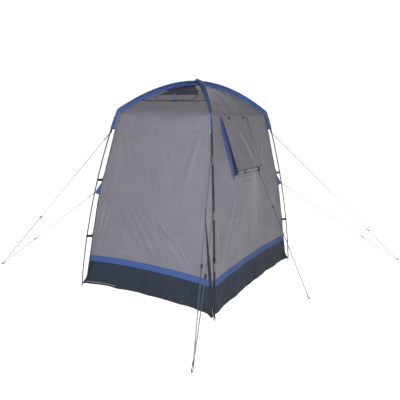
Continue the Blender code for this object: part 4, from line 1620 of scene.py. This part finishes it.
def guy_tab(corner):
    """The blue triangle that carries the lower guy from the cabin's corner out to the pole."""
    out, side = corner_axes(corner)
    tip = pole_at(corner, TAB_TIP_Z, -0.009)
    high, low = seam_at(corner, TAB_TOP_Z, 0.004), seam_at(corner, TAB_LOW_Z, 0.004)
    rows = []
    for i in range(12):
        share = i / 11
        row = []
        for j in range(11):
            blunt_tip = tip + Vector((0, 0, 0.010 * (0.5 - j / 10)))
            point = high.lerp(low, j / 10).lerp(blunt_tip, share ** 0.85)
            curve = math.sin(math.pi * share) * (j / 10 - 0.5) * -0.012
            point = point + Vector((0, 0, curve)) + side * 0.0016 * math.sin(share * 5 + j * 0.5)
            row.append(point)
        rows.append(row)
    put(Shape().sheet(rows), f"{corner}_guy_tab", BLUE_CLOTH, thickness=0.0016)
    fittings = ring_shape(Shape(), pole_at(corner, LOWER_RING_Z), (0, 0, 1), *GUY_RING)
    fittings.sweep([tip - out * 0.014, tip - out * 0.004, tip + out * 0.003], flat(0.004, 0.016), side=side)
    put(fittings, f"{corner}_guy_ring", PLASTIC)


def upper_loop(corner):
    """The webbing loop that the upper guy ties to, below the sleeve's end."""
    out, side = corner_axes(corner)
    ring = ring_shape(Shape(), pole_at(corner, UPPER_RING_Z), (0, 0, 1), *GUY_RING)
    put(ring, f"{corner}_upper_ring", PLASTIC)
    top = at_corner(corner, leg_reach(SLEEVE_END_Z) - 0.012, SLEEVE_END_Z + 0.008)
    low = at_corner(corner, leg_reach(UPPER_RING_Z + 0.002) - 0.010, UPPER_RING_Z + 0.004)
    line = rounded_line([top, top.lerp(low, 0.5) - out * 0.002, low], 10)
    put(Shape().sweep(line, flat(0.0014, 0.008), side=side), f"{corner}_upper_strap", BLACK_TAPE)


def foot_strap(corner):
    """The strap and wire loop that hold the cabin's corner to the foot of the pole."""
    out, side = corner_axes(corner)
    foot = at_corner(corner, REACH, 0.0)
    loop = []
    for turn in np.linspace(0, 2 * math.pi, 33)[:-1]:
        wide, tall = 0.0150 * math.cos(turn), 0.0225 * math.sin(turn)
        loop.append(foot - out * 0.0085 + side * wide + Vector((0, 0, 0.0245 + tall)))
    wire = Shape().sweep(loop, circle(0.0023, 8), closed=True)
    put(wire, f"{corner}_foot_loop", BRIGHT_STEEL)
    seam = at_corner(corner, float(fabric_reach(SKIRT_BOTTOM)) + CORNER_TUG - 0.004, SKIRT_BOTTOM - 0.004)
    eye = foot - out * 0.0085 + Vector((0, 0, 0.045))
    line = [
        seam - out * 0.018 + Vector((0, 0, 0.012)),
        seam + Vector((0, 0, 0.004)),
        eye + Vector((0, 0, 0.0032)),
        eye + out * 0.0026,
        eye - Vector((0, 0, 0.0028)),
        seam - out * 0.010 - Vector((0, 0, 0.003)),
    ]
    strap = Shape().sweep(rounded_line(line, 30), flat(0.010, 0.0014), side=side)
    put(strap, f"{corner}_foot_strap", BLACK_TAPE)


leg_fittings()


# Window ----------------------------------------------------------------------------------------

FLAP_LENGTH = 0.58
FLAP_ARCS = (  # folds, as (along, share down the flap) of both ends, half width and depth in metres
    (-0.42, 0.06, 0.00, 0.97, 0.050, 0.0055),
    (-0.30, 0.03, 0.01, 0.98, 0.040, 0.0050),
    (-0.16, 0.02, 0.015, 0.98, 0.034, -0.0030),
    (-0.44, 0.35, -0.02, 0.98, 0.040, 0.0040),
    (0.10, 0.05, 0.03, 0.95, 0.034, 0.0035),
    (-0.40, 0.80, -0.05, 0.98, 0.030, 0.0030),
)
FLAP_FOLDS = [
    (a0, share0 * FLAP_LENGTH, a1, share1 * FLAP_LENGTH, width, depth)
    for a0, share0, a1, share1, width, depth in FLAP_ARCS
]
ZIP_TOP_Z, GUSSET_LOW_Z = 1.868, 1.292


def flap_points(along, share, lift=0.0):
    """Points of the propped window flap: share runs from its seam at the top down to its hem."""
    along, share = np.broadcast_arrays(np.asarray(along, float), np.asarray(share, float))
    top_x = HALF_X * fabric_reach(FLAP_TOP_Z) / REACH + 0.004
    hem_x = HALF_X * fabric_reach(FLAP_HEM_Z) / REACH + FLAP_OUT
    x = top_x + (hem_x - top_x) * share
    z = FLAP_TOP_Z + (FLAP_HEM_Z - FLAP_TOP_Z) * share
    middle = (FLAP_Y[0] + FLAP_Y[1]) / 2
    inside = smooth((np.minimum(along - FLAP_Y[0], FLAP_Y[1] - along)) / 0.05)
    out = 0.010 * np.sin(math.pi * share) * (1 - ((along - middle) / 0.33) ** 2)
    out = out + fold_relief(along, share * FLAP_LENGTH, FLAP_FOLDS) * inside
    sag = 0.010 * np.sin(math.pi * np.clip((along - FLAP_Y[0]) / 0.36, 0, 1)) * smooth((share - 0.7) / 0.3)
    return np.stack([x + (out + lift) * 0.95, along, z + (out + lift) * 0.2 + sag * 0.4], axis=-1)


def window_flap():
    """The flap's cloth with its rolled hem in a paler cloth that paints a highlight on it, two dark rows of
    stitching that also paint the shade above and below the hem, and bound edges.
    """
    shares = np.linspace(0, 1, 36)
    along = np.linspace(*FLAP_Y, 41)
    cloth = Shape().sheet(flap_points(along[None], shares[:, None]), flip=True)
    cloth_piece("window_flap_cloth", cloth, FLAP_SHADED_CLOTH, "window_flap", ("window_flap",))
    # The hem roll's paler cloth paints its highlight.
    hem = Shape().sweep(flap_points(along, 0.985), circle(0.0065, 12))
    put(hem, "window_flap_hem", HEM_CLOTH, "window_flap")
    # Two dark rows, above and below the hem roll: stitching whose dark colour also paints the shade along
    # the hem.
    stitching = Shape()
    for share, lift in ((0.958, 0.0016), (1.002, 0.0006)):
        stitching.sweep(flap_points(along, share, lift), flat(0.0050, 0.0014), side=(0, 0, 1))
    put(stitching, "window_flap_stitching_and_shade", SLATE_TAPE, "window_flap", slot="navy_fabric")
    for name, edge, finish in (("left", FLAP_Y[0], NAVY_TAPE), ("right", FLAP_Y[1], FLAP_SHADED_CLOTH)):
        line = flap_points(edge, np.linspace(0.0, 1.0, 26))
        binding = Shape().sweep(line, flat(0.011, 0.0030), side=(0, 1, 0))
        put(binding, f"window_flap_binding_{name}", finish, "window_flap")


def window_net():
    """The insect mesh in the window's opening."""
    heights = np.linspace(*WINDOW_Z, 30)
    places = np.linspace(*WINDOW_Y, 31)
    net = Shape().sheet(wall_points("window", places[None], heights[:, None], -0.0012))
    cloth_piece("window_net", net, NET, nodes=("window_mesh",), thickness=0.0004)


def window_gusset():
    """The cloth that fans out between the wall and the flap's left edge, and its lower outer part in navy,
    which paints the shade of the gap beside the flap.
    """
    heights = np.linspace(ZIP_TOP_Z, GUSSET_LOW_Z, 30)
    opened = (ZIP_TOP_Z - heights) / (ZIP_TOP_Z - GUSSET_LOW_Z)
    root = wall_points("window", FLAP_Y[0] - 0.034 - 0.012 * opened, heights, 0.0024)
    lip = wall_points("window", FLAP_Y[0] + 0.002, heights, 0.0030)
    edge = flap_points(FLAP_Y[0] - 0.005, opened, -0.002)
    lip = lip + (edge - lip) * (0.78 * smooth(opened / 0.15))[:, None]
    rows = []
    for number, (a, b) in enumerate(zip(root, lip)):
        split = 1 - 0.62 * float(smooth((number - 12) / 17))
        places = [*np.linspace(0, split, 5), *np.linspace(split, 1, 4)[1:]]
        out = np.array(((b - a)[1], -(b - a)[0], 0.0))
        rows.append([a + (b - a) * t + out * 0.12 * math.sin(math.pi * t) for t in places])
    rows = np.array(rows)
    parts = (
        ("window_gusset", rows[:, :5], GUSSET_CLOTH, "blue_fabric"),
        # The lower outer part in navy paints the shade of the gap between the wall and the flap.
        ("window_gusset_shade", rows[13:, 4:], NAVY_CLOTH, "navy_fabric"),
    )
    for name, part, finish, slot in parts:
        piece = thick(Shape().sheet(part).made(name, finish), 0.0012, 0.0)
        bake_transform(piece)


def window_zips():
    """The zips down both sides of the window, their sliders, and the guard beside the right one."""
    for name, place, end_z in (
        ("left", FLAP_Y[0] - 0.016, GUSSET_LOW_Z - 0.004),
        ("right", FLAP_Y[1] - 0.012, 1.300),
    ):
        line = wall_points("window", place, np.linspace(end_z, ZIP_TOP_Z, 44), 0.0034)
        put(Shape().sweep(line, flat(0.0065, 0.0030), side=(0, 1, 0)), f"window_zip_{name}", DARK_ZIP)
        end = Vector(wall_points("window", place, end_z, 0.0050))
        body = offsets(end, *[(0, 0, z) for z in (-0.010, -0.005, 0.005, 0.012, 0.014)])
        drop = offsets(end, *[(0.004, 0, -z) for z in (0.004, 0.012, 0.024, 0.038)])
        pull = Shape().sweep(body, flat(0.0120, 0.0070), side=(0, 1, 0), scale=[0.6, 1.0, 1.0, 0.9, 0.5])
        pull.sweep(drop, flat(0.009, 0.0020), side=(0, 1, 0))
        put(pull, f"window_zip_slider_{name}", PLASTIC)
    heights = np.linspace(1.50, ZIP_TOP_Z, 30)
    wide = 0.020 * smooth((heights - 1.48) / 0.16) + 0.001
    down = (FLAP_TOP_Z - heights) / (FLAP_TOP_Z - FLAP_HEM_Z)
    line = flap_points(FLAP_Y[1] - 0.030 - 0.050 * down, down, 0.0030)
    guard = Shape().sweep(line, RIBBON, side=(0, 1, 0), scale=np.stack([wide, np.ones(30)], axis=1))
    put(guard, "window_zip_guard_right", SLATE_TAPE, "window_flap")
    along = np.linspace(FLAP_Y[0] - 0.012, FLAP_Y[1] + 0.012, 40)
    line = wall_points("window", along, FLAP_TOP_Z + 0.004, 0.0045)
    put(Shape().sweep(line, flat(0.016, 0.0024), side=(0.26, 0, -0.96)), "window_flap_seam", FLAP_SHADED_CLOTH)


TOGGLE = (  # (along from its middle, radius)
    (-0.019, 0.0050),
    (-0.016, 0.0074),
    (-0.005, 0.0064),
    (0.005, 0.0064),
    (0.016, 0.0074),
    (0.019, 0.0050),
)


def toggle(place, lean, stout=1.0):
    """A barrel toggle with its two thicker ends."""
    bar = [place + lean * along for along, _ in TOGGLE]
    return Shape().sweep(bar, circle(stout, 14), scale=[radius for _, radius in TOGGLE])


def window_toggles():
    """The two toggles above the flap, and the tabs, eyelets and toggles at its hem."""
    hem_toggles = ((Vector((0, 0.98, 0.2)), 0.75), (Vector((0, -0.45, 0.89)), 1.1))
    for number, place in enumerate((-0.330, WINDOW_GUY_Y), 1):
        at = Vector(wall_points("window", place, FLAP_TOP_Z - 0.008, 0.013)) + Vector((0.004, 0, 0))
        put(toggle(at, Vector((0, -0.80, 0.60))), f"window_toggle_{number}", PLASTIC, "window_flap")
        anchor = Vector(wall_points("window", place, FLAP_TOP_Z - 0.001, 0.0088))
        line = [anchor, anchor.lerp(at, 0.5) + Vector((0.003, 0, 0.002)), at + Vector((0.004, 0, 0))]
        band = Shape().sweep(line, flat(0.010, 0.0014), side=(0, 1, 0))
        put(band, f"window_toggle_strap_{number}", BLACK_TAPE, "window_flap")
        end = Vector(flap_points(place, 1.0))
        line = offsets(
            end,
            (-0.002, 0, 0.030),
            (0.0045, 0, 0.024),
            (0.006, 0, 0.004),
            (0.005, 0, -0.010),
            (0.001, 0, -0.012),
            (-0.003, 0, 0.010),
        )
        tab = Shape().sweep(rounded_line(line, 22), flat(0.016, 0.0015), side=(0, 1, 0))
        put(tab, f"window_hem_tab_{number}", BLACK_TAPE, "window_flap")
        eyelet = ring_shape(Shape(), end + Vector((0.006, 0, -0.002)), (1, 0, 0), 0.0060, 0.0014)
        put(eyelet, f"window_hem_eyelet_{number}", EYELET, "window_flap")
        lean, stout = hem_toggles[number - 1]
        button = toggle(end + Vector((0.013, 0, 0.002)), lean, stout)
        put(button, f"window_hem_toggle_{number}", PLASTIC, "window_flap")


window_flap()
window_net()
window_gusset()
window_zips()
window_toggles()


# Door zip --------------------------------------------------------------------------------------


def zip_gap_shade_width(height):
    """How far the fabric edges stand apart over the zip, as the width of the dark tape that also paints the
    shade in the gap, from the middle of the door down to its foot.
    """
    return 0.0012 + 0.0140 * smooth((1.06 - np.asarray(height)) / 0.66)


def zip_strip(shape, side, away, width, low, high, lift):
    """A strip beside the door's zipped edge. side is 1 on the surround and -1 on the door."""
    heights = np.linspace(low, high, max(8, round((high - low) / 0.02)))
    middle = door_right(heights) + DOOR_SLIT / 2
    wide = width(heights) if callable(width) else np.full(heights.shape, width)
    line = wall_points("front", middle + side * (away + wide / 2), heights, lift)
    shape.sweep(line, RIBBON, side=(1, 0, 0), scale=np.stack([wide, np.ones_like(wide)], axis=1))


def storm_flap():
    """The narrow flap that hides the zip on the upper half of its edge and across the door's top."""
    corner = float(door_right(DOOR_TOP))
    heights = stops(1.0, DOOR_TOP + 0.012, 0.02)
    edge = door_right(heights)[:, None]
    taper = smooth((heights - 1.0) / 0.10)[:, None]
    along = edge + 0.012 - 0.026 * taper * np.linspace(0, 1, 5)[None]
    shape = Shape().sheet(wall_points("front", along, heights[:, None], 0.0014), flip=True)
    places = stops(float(door_left(DOOR_TOP)) + 0.02, corner + 0.012, 0.02)
    levels = DOOR_TOP + 0.012 - 0.026 * np.linspace(0, 1, 5)
    shape.sheet(wall_points("front", places[None], levels[:, None], 0.0012), flip=True)
    cloth_piece("door_storm_flap", shape, WALL_CLOTH)


def door_zip():
    """The zip's two tapes, and the seam the door hangs from, in the colours it crosses."""
    for side, body, name in ((1, "cabin", "fixed"), (-1, "door", "moving")):
        coil = Shape()
        zip_strip(coil, side, DOOR_SLIT / 2, 0.0030, 1.03, DOOR_TOP, -0.0012)
        # Below 1.03 m the dark tape widens to the foot. It is partly the zip and partly painted shade of
        # the gap between its edges.
        zip_strip(coil, side, DOOR_SLIT / 2 - 0.0004, zip_gap_shade_width, SKIRT_BOTTOM + 0.006, 1.03, 0.0026)
        put(coil, f"door_zip_{name}", DARK_ZIP, body)
    bands = (
        (SKIRT_BOTTOM + 0.006, SKIRT_TOP, NAVY_CLOTH),
        (SKIRT_TOP, BAND_TOP, BLUE_CLOTH),
        (BAND_TOP, DOOR_TOP, WALL_CLOTH),
    )
    for number, (low, high, finish) in enumerate(bands, 1):
        heights = np.linspace(low, high, max(6, round((high - low) / 0.019)))
        line = wall_points("front", [door_left(z) - 0.004 for z in heights], heights, 0.0022)
        seam = Shape().sweep(line, flat(0.012, 0.0016), side=(1, 0, 0))
        put(seam, f"door_hinge_seam_{number}", finish)


def door_slider():
    """The slider on its run, its pull tape, and the pin at the zip's foot."""
    place = centre_of("door_zip_slider")
    lean = Vector((0, 0.17, 1)).normalized()
    body = [place + lean * z for z in (-0.010, -0.0085, -0.002, 0.004, 0.0085, 0.010)]
    sizes = [0.55, 0.85, 0.80, 0.95, 1.0, 0.7]
    slider = Shape().sweep(body, flat(0.0095, 0.0055), side=(1, 0, 0), scale=sizes)
    ends = [place + lean * z + Vector((0, -0.0025, 0)) for z in (-0.006, 0.006)]
    bridge = rounded_line([ends[0], place + Vector((0, -0.0065, 0)), ends[1]], 12)
    slider.sweep(bridge, flat(0.0030, 0.0013), side=(1, 0, 0))
    put(slider, "door_zip_slider_body", PLASTIC, "door_zip_slider", "door_zip_slider")
    top = place + Vector((0, -0.0062, -0.001))
    line = offsets(top, *[(0, -0.0006 * i, -0.0050 * i) for i in range(6)])
    sizes = [0.6, 1.0, 0.8, 0.9, 1.1, 0.9]
    pull = Shape().sweep(line, flat(0.0060, 0.0015), side=(1, 0, 0), scale=sizes)
    put(pull, "door_zip_pull", NAVY_TAPE, "door_zip_slider", slot="blue_fabric")
    foot = Vector(wall_points("front", door_right(SKIRT_BOTTOM) + 0.010, SKIRT_BOTTOM + 0.006, 0.003))
    line = [Vector((foot.x - 0.002, foot.y - 0.001, z)) for z in np.linspace(foot.z, 0.0, 9)]
    pin = Shape().sweep(line, circle(0.0022, 10), scale=[0.8, *[1.0] * 6, 0.8, 0.4])
    put(pin, "door_foot_pin", BRIGHT_STEEL)


storm_flap()
door_zip()
door_slider()


# Lamp ring -------------------------------------------------------------------------------------

LAMP_RING_RADIUS = 0.018


def lamp_ring():
    """The steel ring inside the roof, and the webbing loop it hangs from."""
    place = centre_of("lamp_ring")
    ring = ring_shape(Shape(), place, (0, 1, 0), LAMP_RING_RADIUS, 0.002, 40)
    put(ring, "lamp_ring_steel", STEEL, "lamp_ring", "lamp_ring")
    top = place + Vector((0, 0, LAMP_RING_RADIUS))
    line = offsets(
        top, (0, 0.006, 0.012), (0, 0.0045, 0.002), (0, 0, -0.0036), (0, -0.0045, 0.002), (0, -0.006, 0.012)
    )
    band = Shape().sweep(rounded_line(line, 22), flat(0.016, 0.0014), side=(1, 0, 0))
    put(band, "lamp_loop", BLACK_TAPE)


lamp_ring()
